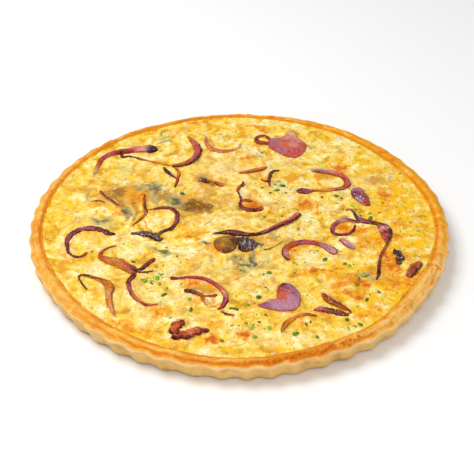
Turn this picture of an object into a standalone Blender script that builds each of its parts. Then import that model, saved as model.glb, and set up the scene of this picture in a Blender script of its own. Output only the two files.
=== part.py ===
"""Caramelised onion quiche: a whole, shallow, fluted savoury tart, modelled at its real size.

Metres, +Z up. The origin is the middle of the flat foot, and -Y is the side nearest the viewer.
A pastry case holds a baked custard with chopped herbs on it. Strips, curls and petals of
caramelised red onion lie on the custard.
"""

import math
import random

import bmesh
import bpy
from mathutils import Matrix, Vector, noise
from mathutils.bvhtree import BVHTree

MM = 0.001
GAP = 0.0003
MERGE_DISTANCE = 0.000002

# Pastry case
RIM_HEIGHT = 0.0143
RIM_UNEVENNESS = 0.0005
RIM_CREST_ROUNDING = 0.0010
INNER_LIP = 0.0014
EDGE_DROP = 0.0014
EDGE_ROUNDING = 0.0009
FOOT_INSET = 0.0041
FLOOR_THICKNESS = 0.0032
INNER_WALL_LEAN = 0.0030
FLUTES = 53
COLUMNS_PER_FLUTE = 6
FLUTE_DEPTH = 0.0024
# How unevenly deep and evenly spaced the flutes are, and their lean in parts of a flute.
FLUTE_DEPTH_SHARE = 0.86
FLUTE_DEPTH_SPREAD = 0.34
FLUTE_DRIFT = 0.9
FLUTE_LEAN = 0.22
# How many times the uneven values swing on the way round the case.
HEIGHT_PACE = 2.2
DEPTH_PACE = 3.1
DRIFT_PACE = 3.4
# Angle in degrees from +X, and the rim's outer radius there without flutes.
RIM_RADII = (
    (0, 0.1298), (12, 0.1300), (34, 0.1295), (64, 0.1297), (85, 0.1279), (95, 0.1281),
    (104, 0.1286), (115, 0.1275), (128, 0.1288), (165, 0.1293), (190, 0.1290), (213, 0.1282),
    (231, 0.1281), (250, 0.1285), (265, 0.1290), (275, 0.1293), (286, 0.1283), (296, 0.1282),
    (309, 0.1290), (325, 0.1282), (345, 0.1294),
)
# Angle in degrees from +X, and the rim's width there.
RIM_WIDTHS = (
    (0, 0.0085), (35, 0.0095), (62, 0.0078), (90, 0.0052), (145, 0.0064), (180, 0.0076),
    (212, 0.0098), (240, 0.0094), (270, 0.0088), (300, 0.0094), (328, 0.0108),
)
# Angle in degrees from +X, and how much of the flutes' depth the rim's edge still has there.
RIM_FLUTE_SHARES = (
    (0, 0.45), (60, 0.22), (90, 0.16), (120, 0.22), (180, 0.45), (215, 0.75), (250, 1.0),
    (290, 1.0), (325, 0.75),
)

# Custard
CUSTARD_LEVEL = 0.0134
CUSTARD_EDGE_DIP = 0.0006
CUSTARD_CLEARANCE = 0.0004
CUSTARD_RINGS = 12
CUSTARD_RING_CROWDING = 1.15
CUSTARD_COLUMNS = FLUTES * COLUMNS_PER_FLUTE // 3
SWELL_HEIGHT = 0.0009
SWELL_LENGTH = 0.030
RIPPLE_HEIGHT = 0.0006
RIPPLE_LENGTH = 0.012
DIP_WIDTH = 0.006
CALM_WIDTH = 0.010

# Onion strips and petals
STATION_SPACING = 0.0040
STRIP_FLATNESS = 0.46
STRIP_SIDES = 6
RESTING_CLEARANCE = 0.0004
PETAL_THICKNESS = 0.0009
PETAL_CROWN = 0.0016
PETAL_COLUMNS = 16
PETAL_TOUCH = 0.002

# Each strip's route over the custard, in millimetres: x, y and the strip's width there. A piece
# with several routes is a tangle whose strands have fused.
ONION_STRIPS = {
    "onion_curl_left": (
        ((-76, -14.5, 2.2), (-80, -15, 4.2), (-85, -12, 4.5), (-91, -10.5, 4.5), (-97, -11.5, 4.5),
         (-102, -15.5, 4.3), (-104, -21.5, 3.5), (-103.3, -28.5, 2.6), (-101, -34.5, 2.3),
         (-97, -37.5, 2.2), (-93.3, -36.5, 2.0), (-91, -33.5, 1.5)),
    ),
    "onion_hook_left": (
        ((-87, -67.5, 1.2), (-90.5, -62.5, 1.6), (-93, -57.5, 1.6), (-91.3, -54.8, 1.8),
         (-86, -56.3, 2.6), (-80, -58.8, 3.5), (-76, -62.3, 4.5), (-74, -67.5, 4.6),
         (-74, -73.5, 4.1), (-73, -79.5, 3.5), (-71, -85.5, 2.6), (-69, -89.5, 1.4)),
    ),
    "onion_twist_left": (
        ((-74, -27, 1.4), (-79, -29.5, 2.0), (-83, -34.5, 2.8), (-81.5, -39, 3.6),
         (-76, -42, 6.4), (-71, -44, 7.0), (-66, -47.5, 6.0), (-61.5, -50.5, 5.6)),
    ),
    "onion_twist_arm": (
        ((-57.4, -48.5, 2.6), (-55.5, -46, 3.2), (-53, -43, 3.3), (-49.8, -39.8, 3.2)),
    ),
    "onion_twist_tail": (
        ((-62.3, -56.8, 3.2), (-64, -60.5, 3.2), (-63, -66, 3.0), (-61, -72, 2.8),
         (-57.5, -77, 2.6), (-53, -80.3, 2.4), (-49, -80.8, 2.2), (-45.5, -79.8, 1.4)),
    ),
    "onion_curl_back_left": (
        ((-96, 48, 1.6), (-95, 54.5, 2.8), (-94, 61.5, 3.8), (-91, 68.5, 4.3), (-86, 73.5, 4.6),
         (-80, 76.5, 5.2), (-73, 78.5, 5.2), (-66, 79.5, 6.2), (-59.5, 79.5, 7.6), (-56.5, 79, 5.0)),
    ),
    "onion_strand_back_left": (
        ((-78.5, 70.2, 2.2), (-74, 70.8, 1.8), (-66, 67.5, 1.7), (-58, 64.3, 1.6), (-51.5, 61.2, 1.7)),
    ),
    "onion_arc_back_left": (
        ((-35.5, 95.3, 1.8), (-32, 89.3, 4.0), (-28.8, 82.3, 5.2), (-28, 75.3, 5.4),
         (-30, 68.3, 5.4), (-34, 62.8, 5.0), (-39, 60.3, 4.2), (-45, 58.8, 3.4)),
    ),
    "onion_fork_back_left": (
        ((-41.6, 54.6, 1.6), (-40.2, 50, 1.7), (-40.4, 44.5, 2.1), (-41.5, 35.5, 1.4)),
        ((-49.8, 55.5, 1.6), (-47.5, 52.5, 2.6), (-44, 48, 1.8), (-40.8, 44, 1.8)),
    ),
    "onion_smile_back": (
        ((-23, 97.3, 1.3), (-22.7, 90.3, 2.9), (-21, 84.3, 3.7), (-17, 79, 3.8), (-11, 76.5, 3.8),
         (-5, 78, 3.0), (-0.5, 81, 2.1), (1.3, 86.3, 1.2)),
    ),
    "onion_ring_back": (
        ((18.2, 87.2, 3.0), (14.5, 88, 3.4), (12.3, 91, 2.7), (13, 94.6, 2.4), (16.3, 96.6, 2.3),
         (19.2, 94.6, 2.0)),
    ),
    "onion_brown_strip": (
        ((0, 50, 1.8), (5, 51, 3.5), (11, 53.4, 3.7), (16, 55.6, 3.8), (18.4, 58.2, 2.4)),
    ),
    "onion_twig_back": (
        ((27, 54.5, 1.3), (23.2, 53.6, 2.2), (21.2, 50.3, 2.5), (20.2, 45.5, 2.5),
         (19.8, 39.5, 2.0), (20.4, 35, 1.2)),
        ((14.4, 42.8, 1.3), (17, 41.2, 1.8), (20, 40.4, 1.9)),
    ),
    "onion_hook_right": (
        ((48.5, 52.8, 3.2), (54, 52.5, 4.2), (61, 51.3, 4.3), (67, 48, 4.5), (70.6, 43.2, 4.5),
         (71, 37.6, 4.3), (67.6, 33, 3.8), (61, 31.2, 3.2), (54, 30.7, 2.7), (48.5, 30.6, 2.6),
         (44.5, 30, 4.6), (40.3, 30, 5.6), (37.3, 30, 3.6)),
    ),
    "onion_ladle": (
        ((2.5, 40.3, 1.3), (2.8, 37, 2.9), (0.3, 33.6, 2.7), (-0.5, 30.3, 2.0), (0.7, 25.4, 1.7),
         (1.6, 20.5, 2.0), (0.9, 16.5, 2.6), (2.0, 12.3, 3.0), (5.6, 9.4, 3.0), (10, 8.6, 3.1),
         (13.6, 10.4, 2.8), (14.6, 13.6, 1.6)),
        ((1.4, 18.6, 1.6), (4.6, 19.2, 2.2), (8.2, 18, 1.4)),
    ),
    "onion_long_strip": (
        ((-16, -15, 1.3), (-11, -14.6, 3.0), (-6, -14.2, 5.6), (-1, -15, 5.4), (5, -16.6, 3.9),
         (11, -16.2, 3.3), (16, -13.6, 3.4), (21, -9.8, 3.7), (27, -5.8, 4.1), (32.5, -1.6, 4.7),
         (35.5, 2.2, 4.0), (36.6, 7, 1.3)),
    ),
    "onion_thin_centre": (
        ((14.8, -31, 2.0), (18.5, -30, 1.7), (23, -26.4, 1.2), (27, -21.6, 1.0)),
    ),
    "onion_arc_centre": (
        ((29.8, -41, 2.8), (27.8, -36.6, 4.1), (28.2, -31.6, 4.5), (31.5, -27, 4.6),
         (37, -24.2, 4.5), (43, -23.8, 4.5), (49, -26, 4.7), (54, -30.2, 5.1), (57.8, -35.6, 5.4)),
    ),
    "onion_loop_right": (
        ((71.4, -4.4, 2.4), (68.4, -2.2, 3.4), (64, -2.6, 3.7), (60, -6.4, 3.8), (57.8, -11, 3.4),
         (58.6, -15.6, 2.8), (63.4, -16.6, 2.8), (68, -15.2, 2.8), (70.8, -11, 2.2)),
    ),
    "onion_pale_tail": (
        ((61.6, -20.6, 3.2), (64, -24.2, 4.4), (67, -28, 5.0), (69.6, -30.8, 3.2)),
    ),
    "onion_arch_right": (
        ((67.4, 7.8, 1.2), (69.6, 9.9, 1.9), (72.2, 7, 2.1), (73.6, 2.6, 2.6), (76, -1.6, 4.2),
         (79.4, -3.2, 4.8), (82.6, -5, 3.4)),
    ),
    "onion_tail_right": (
        ((87.9, -29, 2.4), (85.8, -33.6, 2.7), (84, -39.4, 2.6), (82.6, -46.4, 2.7),
         (81.2, -53.4, 2.7), (79.4, -58.6, 2.6)),
    ),
    "onion_charred": (
        ((94, -31.4, 2.6), (95.2, -36, 4.8), (95.4, -40.4, 5.2), (94, -45.4, 3.0)),
    ),
    "onion_glazed": (
        ((107.2, -43.4, 3.2), (104.4, -47.2, 5.8), (101.6, -52, 5.4), (98.8, -56.4, 2.6)),
    ),
    "onion_stem_left": (
        ((-60.6, 26.4, 1.6), (-60.5, 19.6, 2.4), (-59.8, 12.6, 2.5), (-58.6, 6.6, 2.6),
         (-60, 2, 2.1), (-62.4, -2.4, 2.0), (-66, -6.8, 1.5)),
    ),
    "onion_ring_left": (
        ((-55.2, 9.6, 1.6), (-52, 10.2, 2.5), (-47.6, 11, 2.9), (-43, 10.2, 3.1), (-39.6, 6.4, 3.1),
         (-38.2, 1, 3.1), (-39.4, -5, 3.2), (-42.2, -10.4, 3.4), (-46.8, -13.2, 2.6)),
    ),
    "onion_clump_dark": (
        ((-66, -15.6, 1.8), (-61, -15.6, 3.2), (-55.4, -16.8, 4.6), (-50.6, -19.6, 5.0),
         (-47.8, -22.6, 3.0)),
    ),
    "onion_sunken_left": (
        ((-90, 30.4, 1.8), (-87.4, 26, 2.5), (-83.6, 21.4, 2.7), (-80, 17.8, 2.7), (-76.4, 13.4, 2.2)),
    ),
    "onion_line_left": (
        ((-94, 18.4, 1.0), (-89.6, 19, 1.9), (-85.4, 17.2, 1.8)),
    ),
    "onion_magenta_arc": (
        ((-40, -57.4, 2.6), (-35, -58, 2.4), (-29, -57.6, 2.8), (-22, -58.6, 3.1), (-16, -61.6, 3.2),
         (-11.4, -66.2, 3.3), (-8.3, -71.6, 3.3), (-7.6, -77, 3.1), (-9.4, -82, 2.8),
         (-12.4, -84.8, 2.0)),
    ),
    "onion_fold_front": (
        ((-31.4, -68.4, 3.2), (-26, -70, 3.1), (-21.6, -73, 2.6), (-20.2, -77, 2.4),
         (-18.4, -81.4, 2.2)),
        ((-20.8, -74, 1.9), (-16, -73.8, 2.1), (-12.2, -73, 1.7)),
    ),
    "onion_tail_front": (
        ((-9.6, -86.6, 1.8), (-7, -88.6, 2.2), (-2.4, -89, 1.4)),
    ),
    "onion_chunk_front": (
        ((-31.6, -95.4, 3.0), (-35.6, -97.6, 4.0), (-37.4, -102.4, 4.1), (-35.4, -107, 4.1),
         (-31, -106.6, 4.6), (-27, -103.6, 4.6), (-22, -102.6, 4.6), (-17, -102.6, 3.6)),
    ),
    "onion_orange_curl": (
        ((23, -104, 1.4), (24.8, -98.6, 2.7), (28.5, -93.6, 3.1), (33.5, -90.3, 3.1),
         (38.5, -89.4, 2.7), (43, -91, 1.5)),
    ),
    "onion_v_upper": (
        ((47.5, -71.8, 2.0), (49.5, -75.8, 3.6), (54, -80.4, 3.6), (58.4, -83.4, 2.6),
         (61.2, -85.2, 1.6)),
    ),
    "onion_v_lower": (
        ((41.6, -85.4, 2.0), (46, -85, 4.3), (51.5, -86.8, 5.0), (57, -88.2, 3.8), (61.6, -88.2, 1.8)),
    ),
    "onion_bit_back": (
        ((-27, 43, 2.2), (-23, 42, 4.0), (-18.6, 39.6, 2.8)),
    ),
    "onion_crumb_back": (
        ((-15.6, 39.6, 1.6), (-13.2, 37.6, 3.8), (-10, 35.4, 1.8)),
    ),
}

# Each petal's outline over the custard, in millimetres, going round it once.
ONION_PETALS = {
    "onion_petal_back": (
        (20, 87), (22, 92.6), (28, 93.6), (32.4, 97.4), (35.6, 103), (40, 101.6), (40.4, 96),
        (44, 90), (46.6, 84), (44.6, 75.6), (38.6, 68.6), (31.6, 70.6), (24.6, 76.6), (21, 81.6),
    ),
    "onion_petal_right": (
        (72.6, 23), (72.4, 29), (75.6, 33.4), (79.6, 32.8), (82, 27), (83.4, 20), (83.6, 14.4),
        (80.6, 13.6), (76, 17.4),
    ),
    "onion_petal_front": (
        (25.4, -61.4), (30.4, -63.8), (34, -69.6), (34.8, -77), (32.4, -84.4), (25, -86.4),
        (16.6, -85), (10.4, -82), (15, -79.4), (20.4, -78), (21.4, -72), (22.2, -65.8),
    ),
    "onion_petal_crescent": (
        (86, -5), (89.4, -4.6), (92.8, -8.4), (94.2, -14), (93, -20.6), (89.8, -26),
        (87.6, -21), (86.2, -15), (85.4, -9.6),
    ),
    "onion_amber_disc": (
        (-14.4, -22.4), (-8, -20.4), (-2.2, -21.2), (-1.4, -26), (-3.4, -31.8), (-8, -35),
        (-12.6, -32.6), (-15, -27.6),
    ),
    "onion_black_fold": (
        (1.2, -21.4), (5, -22.8), (9.6, -26), (8.4, -30), (4, -33), (0.6, -31), (0.2, -26),
    ),
}

# The herb flakes that show from a step away, in millimetres: x, y and the flake's length.
HERB_FLAKES = (
    (-3, -83.8, 5.0), (30.6, -104, 3.8), (-27, -84, 3.2), (-28, -75, 2.4), (11.4, -74, 3.4),
    (10, -70.4, 2.8), (6.8, -99, 3.2), (16.4, -99.4, 2.6), (8.4, -105.8, 2.6), (-9.4, -108.6, 2.4),
    (42.4, -106, 2.8), (17.6, -51.2, 3.2), (63.6, -98.6, 3.4), (66.8, -96, 3.0), (79.6, -69, 3.0),
    (72.6, -75.4, 2.8), (73.2, -53.8, 3.4), (69.6, -57.4, 2.6), (82.4, 3.4, 3.4), (77.8, 6.6, 2.8),
    (70.6, 14.6, 2.6), (62.6, 25.4, 3.2), (24.6, 31.8, 4.2), (14.6, 34, 2.4), (51, -39.4, 3.4),
    (47.4, -31, 2.4), (62.8, -43, 3.4), (68, -63, 3.0), (-55.4, -58.6, 4.2), (-48.6, -50.8, 2.4),
    (-47.4, -56, 3.0), (-46, -61.6, 2.6), (-43, -71, 4.0), (-44.6, -32.8, 3.0), (-36.6, 28.6, 4.0),
    (26.4, 42.4, 3.2), (28.6, 37.4, 3.0), (-35, -91, 2.4), (37.4, -96.6, 2.4), (-62.8, -41, 2.6),
    (-51.4, -63.4, 2.4), (59, -101, 2.6), (3.6, -95, 2.4), (59.6, -93, 2.8),
)
FLAKE_WIDTH_SHARE = 0.6
FLAKE_THICKNESS = 0.0009
FLAKE_CORNERS = 5
FLAKE_TAPER = 0.84
FLAKE_RAISE = 0.0001
# How far a flake keeps from an onion piece, and the radius of a petal's covered middle.
FLAKE_MARGIN = 0.0006
PETAL_MIDDLE = 0.009
HERB_SEED = 11


# Small helpers

def clear_scene():
    for obj in list(bpy.data.objects):
        bpy.data.objects.remove(obj)


def new_collection(name):
    collection = bpy.data.collections.new(name)
    bpy.context.scene.collection.children.link(collection)
    return collection


def finish_material(name, colour, roughness, metallic=0.0):
    material = bpy.data.materials.new(name)
    material.use_nodes = True
    shader = material.node_tree.nodes["Principled BSDF"]
    shader.inputs["Base Color"].default_value = (*colour, 1.0)
    shader.inputs["Roughness"].default_value = roughness
    shader.inputs["Metallic"].default_value = metallic
    material.diffuse_color = (*colour, 1.0)
    return material


def object_from_bmesh(name, bm, collection, material):
    mesh = bpy.data.meshes.new(name)
    bmesh.ops.recalc_face_normals(bm, faces=bm.faces)
    if bm.calc_volume(signed=True) < 0:
        bmesh.ops.reverse_faces(bm, faces=bm.faces)
    bm.to_mesh(mesh)
    bm.free()
    mesh.materials.append(material)
    mesh.shade_smooth()
    obj = bpy.data.objects.new(name, mesh)
    collection.objects.link(obj)
    return obj


def applied(obj):
    """Replaces the object's data by its evaluated mesh, and welds the caps of a curve."""
    bpy.context.view_layer.update()
    graph = bpy.context.evaluated_depsgraph_get()
    mesh = bpy.data.meshes.new_from_object(obj.evaluated_get(graph))
    bm = bmesh.new()
    bm.from_mesh(mesh)
    bmesh.ops.remove_doubles(bm, verts=bm.verts, dist=MERGE_DISTANCE)
    bmesh.ops.recalc_face_normals(bm, faces=bm.faces)
    bm.to_mesh(mesh)
    bm.free()
    name, matrix, collections = obj.name, obj.matrix_world.copy(), list(obj.users_collection)
    bpy.data.objects.remove(obj)
    plain = bpy.data.objects.new(name, mesh)
    plain.matrix_world = matrix
    for collection in collections:
        collection.objects.link(plain)
    return plain


def fused(core, others):
    """One solid from a core and the pieces stuck to it, by one Boolean union on a collection."""
    joined = new_collection(core.name + "_joined")
    for other in others:
        for collection in list(other.users_collection):
            collection.objects.unlink(other)
        joined.objects.link(other)
    union = core.modifiers.new("union", "BOOLEAN")
    union.operation = "UNION"
    union.operand_type = "COLLECTION"
    union.collection = joined
    union.solver = "EXACT"
    whole = applied(core)
    for other in others:
        bpy.data.objects.remove(other)
    bpy.data.collections.remove(joined)
    return whole


def smooth_step(value):
    value = min(1.0, max(0.0, value))
    return value * value * (3 - 2 * value)


def catmull_rom(before, start, end, after, share):
    """A point between start and end on the smooth curve through all four, as a Vector."""
    square, cube = share * share, share**3
    return 0.5 * (
        2 * start
        + (end - before) * share
        + (2 * before - 5 * start + 4 * end - after) * square
        + (3 * start - before - 3 * end + after) * cube
    )


def even_samples(points, spacing, closed=False, count=None):
    """Points evenly spaced along the smooth curve through the given ones."""
    steps = 12
    number = len(points)
    fine = []
    for index in range(number if closed else number - 1):
        if closed:
            four = [points[(index + k - 1) % number] for k in range(4)]
        else:
            four = [points[min(max(index + k - 1, 0), number - 1)] for k in range(4)]
        fine += [catmull_rom(*four, step / steps) for step in range(steps)]
    fine.append(points[0] if closed else points[-1])
    reach = [0.0]
    for here, there in zip(fine, fine[1:]):
        reach.append(reach[-1] + (there.xy - here.xy).length)
    pieces = count or max(3, round(reach[-1] / spacing))
    found, index = [], 0
    for piece in range(pieces if closed else pieces + 1):
        target = reach[-1] * piece / pieces
        while index < len(reach) - 2 and reach[index + 1] < target:
            index += 1
        span = max(reach[index + 1] - reach[index], 1e-9)
        found.append(fine[index].lerp(fine[index + 1], (target - reach[index]) / span))
    return found


# Pastry case

def by_angle(table, angle):
    """A table's value at an angle in radians, eased between the table's own angles."""
    degrees = math.degrees(angle) % 360
    rows = [*table, (360 + table[0][0], table[0][1])]
    for (low, first), (high, last) in zip(rows, rows[1:]):
        if low <= degrees <= high:
            return first + (last - first) * smooth_step((degrees - low) / (high - low))
    return table[0][1]


def rim_radius(angle):
    """The rim's outer radius without flutes: the case isn't quite round."""
    return by_angle(RIM_RADII, angle)


def rim_inner_radius(angle):
    return rim_radius(angle) - by_angle(RIM_WIDTHS, angle)


def wander(angle, pace):
    """A smooth uneven value from about -1 to 1 that comes back to itself round the rim."""
    return noise.noise(Vector((pace * math.cos(angle), pace * math.sin(angle), 3 * pace))) * 1.6


def rim_height(angle):
    return RIM_HEIGHT + RIM_UNEVENNESS * wander(angle, HEIGHT_PACE)


def flute_offset(angle, level):
    """How far a flute pushes the wall out at a level from 0, the foot, to 1, the rim's edge."""
    depth = FLUTE_DEPTH * (FLUTE_DEPTH_SHARE + FLUTE_DEPTH_SPREAD * wander(angle, DEPTH_PACE))
    depth *= 1 - level * (1 - by_angle(RIM_FLUTE_SHARES, angle))
    drift = FLUTE_DRIFT * wander(angle, DRIFT_PACE)
    return depth * 0.5 * math.cos(FLUTES * angle + drift + math.tau * FLUTE_LEAN * level)


def case_section():
    """The rows of the case's section from the foot over the rim to the inner floor.

    Each row gives, for an angle, the radius without flutes, the height and the flutes' share.
    """
    def edge(angle):
        return rim_height(angle) - EDGE_DROP

    def middle(angle):
        return (rim_radius(angle) + rim_inner_radius(angle)) / 2

    return (
        lambda a: (rim_radius(a) - FOOT_INSET, 0.0, 0.9),
        lambda a: (rim_radius(a), edge(a) - EDGE_ROUNDING, 1.0),
        lambda a: (rim_radius(a) - EDGE_ROUNDING, edge(a), 0.85),
        lambda a: (middle(a), rim_height(a) - EDGE_DROP / 4, 0.2),
        lambda a: (rim_inner_radius(a) + RIM_CREST_ROUNDING, rim_height(a), 0.0),
        lambda a: (rim_inner_radius(a), rim_height(a) - INNER_LIP, 0.0),
        lambda a: (rim_inner_radius(a) - INNER_WALL_LEAN, FLOOR_THICKNESS, 0.0),
    )


def turned(row_count, columns, bottom, top):
    """A closed body spun round the axis, and its rows of vertices, still to be put in place.

    The rows lie one unit apart below the two axis points that close the body.
    """
    bm = bmesh.new()
    chain = [bm.verts.new((0, 0, bottom))]
    chain += [bm.verts.new((1, 0, -1 - row)) for row in range(row_count)]
    chain.append(bm.verts.new((0, 0, top)))
    edges = [bm.edges.new(pair) for pair in zip(chain, chain[1:])]
    bmesh.ops.spin(
        bm, geom=chain + edges, axis=(0, 0, 1), cent=(0, 0, 0),
        steps=columns, angle=math.tau, use_merge=True,
    )
    bmesh.ops.remove_doubles(bm, verts=bm.verts, dist=MERGE_DISTANCE)
    rows = {row: [] for row in range(row_count)}
    for vert in bm.verts:
        if vert.co.z < 0:
            rows[round(-1 - vert.co.z)].append(vert)
    return bm, rows


def pastry_case(collection, material):
    """A spun section whose vertices then follow the rim's width, its height and the flutes."""
    section = case_section()
    bm, rows = turned(len(section), FLUTES * COLUMNS_PER_FLUTE, 0.0, FLOOR_THICKNESS)
    for row, verts in rows.items():
        for vert in verts:
            angle = math.atan2(vert.co.y, vert.co.x)
            radius, height, share = section[row](angle)
            radius += share * flute_offset(angle, height / RIM_HEIGHT)
            vert.co = (radius * math.cos(angle), radius * math.sin(angle), height)
    return object_from_bmesh("pastry_case", bm, collection, material)


# Custard

def custard_edge_radius(angle):
    return rim_inner_radius(angle) - CUSTARD_CLEARANCE


def custard_height(x, y):
    """The custard's own surface: slow swells, short ripples and an edge that dips to the rim."""
    swell = noise.noise(Vector((x, y, 0)) / SWELL_LENGTH) * SWELL_HEIGHT
    ripple = noise.noise(Vector((x, y, SWELL_LENGTH)) / RIPPLE_LENGTH) * RIPPLE_HEIGHT
    inward = custard_edge_radius(math.atan2(y, x)) - math.hypot(x, y)
    dip = CUSTARD_EDGE_DIP * (1 - smooth_step(inward / DIP_WIDTH))
    return CUSTARD_LEVEL + (swell + ripple) * smooth_step(inward / CALM_WIDTH) - dip


def custard(collection, material):
    """A spun disc whose top follows the custard's surface and whose side follows the case."""
    bottom = FLOOR_THICKNESS + GAP
    bm, rows = turned(CUSTARD_RINGS + 1, CUSTARD_COLUMNS, bottom, custard_height(0, 0))
    for row, verts in rows.items():
        inset = 1 - ((row - 1) / CUSTARD_RINGS) ** CUSTARD_RING_CROWDING if row else 1
        for vert in verts:
            angle = math.atan2(vert.co.y, vert.co.x)
            radius = custard_edge_radius(angle) * inset
            if row == 0:
                radius, height = radius - INNER_WALL_LEAN, bottom
            else:
                height = custard_height(radius * math.cos(angle), radius * math.sin(angle))
            vert.co = (radius * math.cos(angle), radius * math.sin(angle), height)
    return object_from_bmesh("custard", bm, collection, material)


def surface_of(obj):
    """A function that gives the height of the object's top under a point."""
    bm = bmesh.new()
    bm.from_mesh(obj.data)
    tree = BVHTree.FromBMesh(bm)
    bm.free()

    def height(x, y):
        hit = tree.ray_cast(Vector((x, y, 1.0)), Vector((0, 0, -1)))[0]
        return hit.z if hit else CUSTARD_LEVEL

    return height


# Onion strips and petals

def strip_section(guides):
    """The flattened round section that the strips share, one metre across before scaling."""
    curve = bpy.data.curves.new("strip_section", "CURVE")
    curve.dimensions = "2D"
    spline = curve.splines.new("POLY")
    spline.points.add(STRIP_SIDES - 1)
    for index, point in enumerate(spline.points):
        angle = math.tau * index / STRIP_SIDES
        point.co = (0.5 * math.cos(angle), 0.5 * STRIP_FLATNESS * math.sin(angle), 0, 1)
    spline.use_cyclic_u = True
    section = bpy.data.objects.new("strip_section", curve)
    section.hide_render = True
    section.display_type = "WIRE"
    guides.objects.link(section)
    return section


def strip_stations(route, surface):
    """Where the middle of a strip lies along its route, with its width, on the custard."""
    stations = even_samples([Vector(point) * MM for point in route], STATION_SPACING)
    placed = []
    for index, here in enumerate(stations):
        ahead = stations[min(index + 1, len(stations) - 1)]
        behind = stations[max(index - 1, 0)]
        along = (ahead.xy - behind.xy).normalized()
        width = here.z
        side = Vector((-along.y, along.x)) * width / 2
        below = max(surface(*(here.xy + side * share)) for share in (-1, -0.5, 0, 0.5, 1))
        middle = below + RESTING_CLEARANCE + width * STRIP_FLATNESS / 2
        placed.append((Vector((here.x, here.y, middle)), width))
    return placed


def onion_strand(name, route, surface, section, collection, material):
    stations = strip_stations(route, surface)
    curve = bpy.data.curves.new(name, "CURVE")
    curve.dimensions = "3D"
    curve.twist_mode = "Z_UP"
    curve.bevel_mode = "OBJECT"
    curve.bevel_object = section
    curve.use_fill_caps = True
    spline = curve.splines.new("POLY")
    spline.points.add(len(stations) - 1)
    for point, (place, width) in zip(spline.points, stations):
        point.co = (*place, 1)
        point.radius = width
    curve.materials.append(material)
    obj = bpy.data.objects.new(name, curve)
    collection.objects.link(obj)
    return applied(obj)


def onion_strip(name, routes, surface, section, collection, material):
    strands = []
    for index, route in enumerate(routes):
        part_name = name if index == 0 else f"{name}_{index}"
        strands.append(onion_strand(part_name, route, surface, section, collection, material))
    whole = fused(strands[0], strands[1:]) if len(strands) > 1 else strands[0]
    whole.data.materials.clear()
    whole.data.materials.append(material)
    whole.data.shade_smooth()
    return whole


def onion_petal(name, outline, surface, collection, material):
    """A leaf of onion: a disc pulled onto the outline, crowned in the middle, then thickened."""
    corners = [Vector((x, y, 0.0)) * MM for x, y in outline]
    edge = even_samples(corners, 0, closed=True, count=PETAL_COLUMNS)
    middle = sum(edge, Vector()) / len(edge)
    bm = bmesh.new()
    bmesh.ops.create_circle(bm, cap_ends=True, cap_tris=True, segments=PETAL_COLUMNS, radius=1.0)
    bmesh.ops.subdivide_edges(
        bm, edges=[e for e in bm.edges if min(v.co.length for v in e.verts) < 0.5], cuts=1,
        use_grid_fill=False,
    )
    bmesh.ops.triangulate(bm, faces=[f for f in bm.faces if len(f.verts) > 3])
    for vert in bm.verts:
        reach = vert.co.length
        turn = math.atan2(vert.co.y, vert.co.x) / math.tau % 1 * PETAL_COLUMNS
        flat = middle.lerp(edge[round(turn) % PETAL_COLUMNS], reach) if reach > 0.01 else middle
        near = max(
            surface(flat.x + across * PETAL_TOUCH, flat.y + along * PETAL_TOUCH)
            for across, along in ((0, 0), (1, 0), (-1, 0), (0, 1), (0, -1))
        )
        crown = PETAL_CROWN * (1 - reach * reach)
        vert.co = (flat.x, flat.y, near + RESTING_CLEARANCE + crown)
    obj = object_from_bmesh(name, bm, collection, material)
    up = sum((face.normal.z for face in obj.data.polygons))
    shell = obj.modifiers.new("thickness", "SOLIDIFY")
    shell.thickness = PETAL_THICKNESS
    shell.offset = 1.0 if up > 0 else -1.0
    shell.use_even_offset = False
    return obj


# Herb flakes

def herb_flakes(surface, taken, collection, material):
    """Chopped herb as small five-cornered chips, half sunk in the custard.

    A flake that would lie against an onion piece, given as points with radii, is left out.
    """
    draw = random.Random(HERB_SEED)
    chips = []
    for x, y, length in HERB_FLAKES:
        spot, reach = Vector((x, y)) * MM, length * MM / 2 + FLAKE_MARGIN
        spin = draw.uniform(0, math.tau)
        if any((spot - other.xy).length < radius + reach for other, radius in taken):
            continue
        bm = bmesh.new()
        bmesh.ops.create_cone(
            bm, cap_ends=True, segments=FLAKE_CORNERS,
            radius1=0.5, radius2=0.5 * FLAKE_TAPER, depth=1.0,
        )
        size = Matrix.Diagonal((length * MM, length * MM * FLAKE_WIDTH_SHARE, FLAKE_THICKNESS, 1))
        place = Matrix.Translation((spot.x, spot.y, surface(spot.x, spot.y) + FLAKE_RAISE))
        bm.transform(place @ Matrix.Rotation(spin, 4, "Z") @ size)
        chips.append(object_from_bmesh(f"herb_{len(chips)}", bm, collection, material))
    return chips


# Assembly

def main():
    clear_scene()
    quiche = new_collection("caramelised_onion_quiche")
    guides = new_collection("guides")
    pastry = finish_material("baked_pastry", (0.72, 0.42, 0.15), 0.62)
    custard_skin = finish_material("baked_custard", (0.90, 0.68, 0.24), 0.42)
    onion = finish_material("caramelised_onion", (0.33, 0.10, 0.09), 0.34)
    petal = finish_material("onion_petal", (0.46, 0.20, 0.22), 0.30)

    pastry_case(quiche, pastry)
    filling = custard(quiche, custard_skin)
    surface = surface_of(filling)
    section = strip_section(guides)
    taken = []
    for name, routes in ONION_STRIPS.items():
        onion_strip(name, routes, surface, section, quiche, onion)
        for route in routes:
            line = even_samples([Vector(point) * MM for point in route], MM)
            taken += [(point, point.z / 2) for point in line]
    for name, outline in ONION_PETALS.items():
        onion_petal(name, outline, surface, quiche, petal)
        corners = [Vector((x, y, 0.0)) * MM for x, y in outline]
        taken.append((sum(corners, Vector()) / len(corners), PETAL_MIDDLE))
        taken += [(corner, 0.0) for corner in even_samples(corners, MM, closed=True)]
    fused(filling, herb_flakes(surface, taken, quiche, custard_skin))


main()
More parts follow.
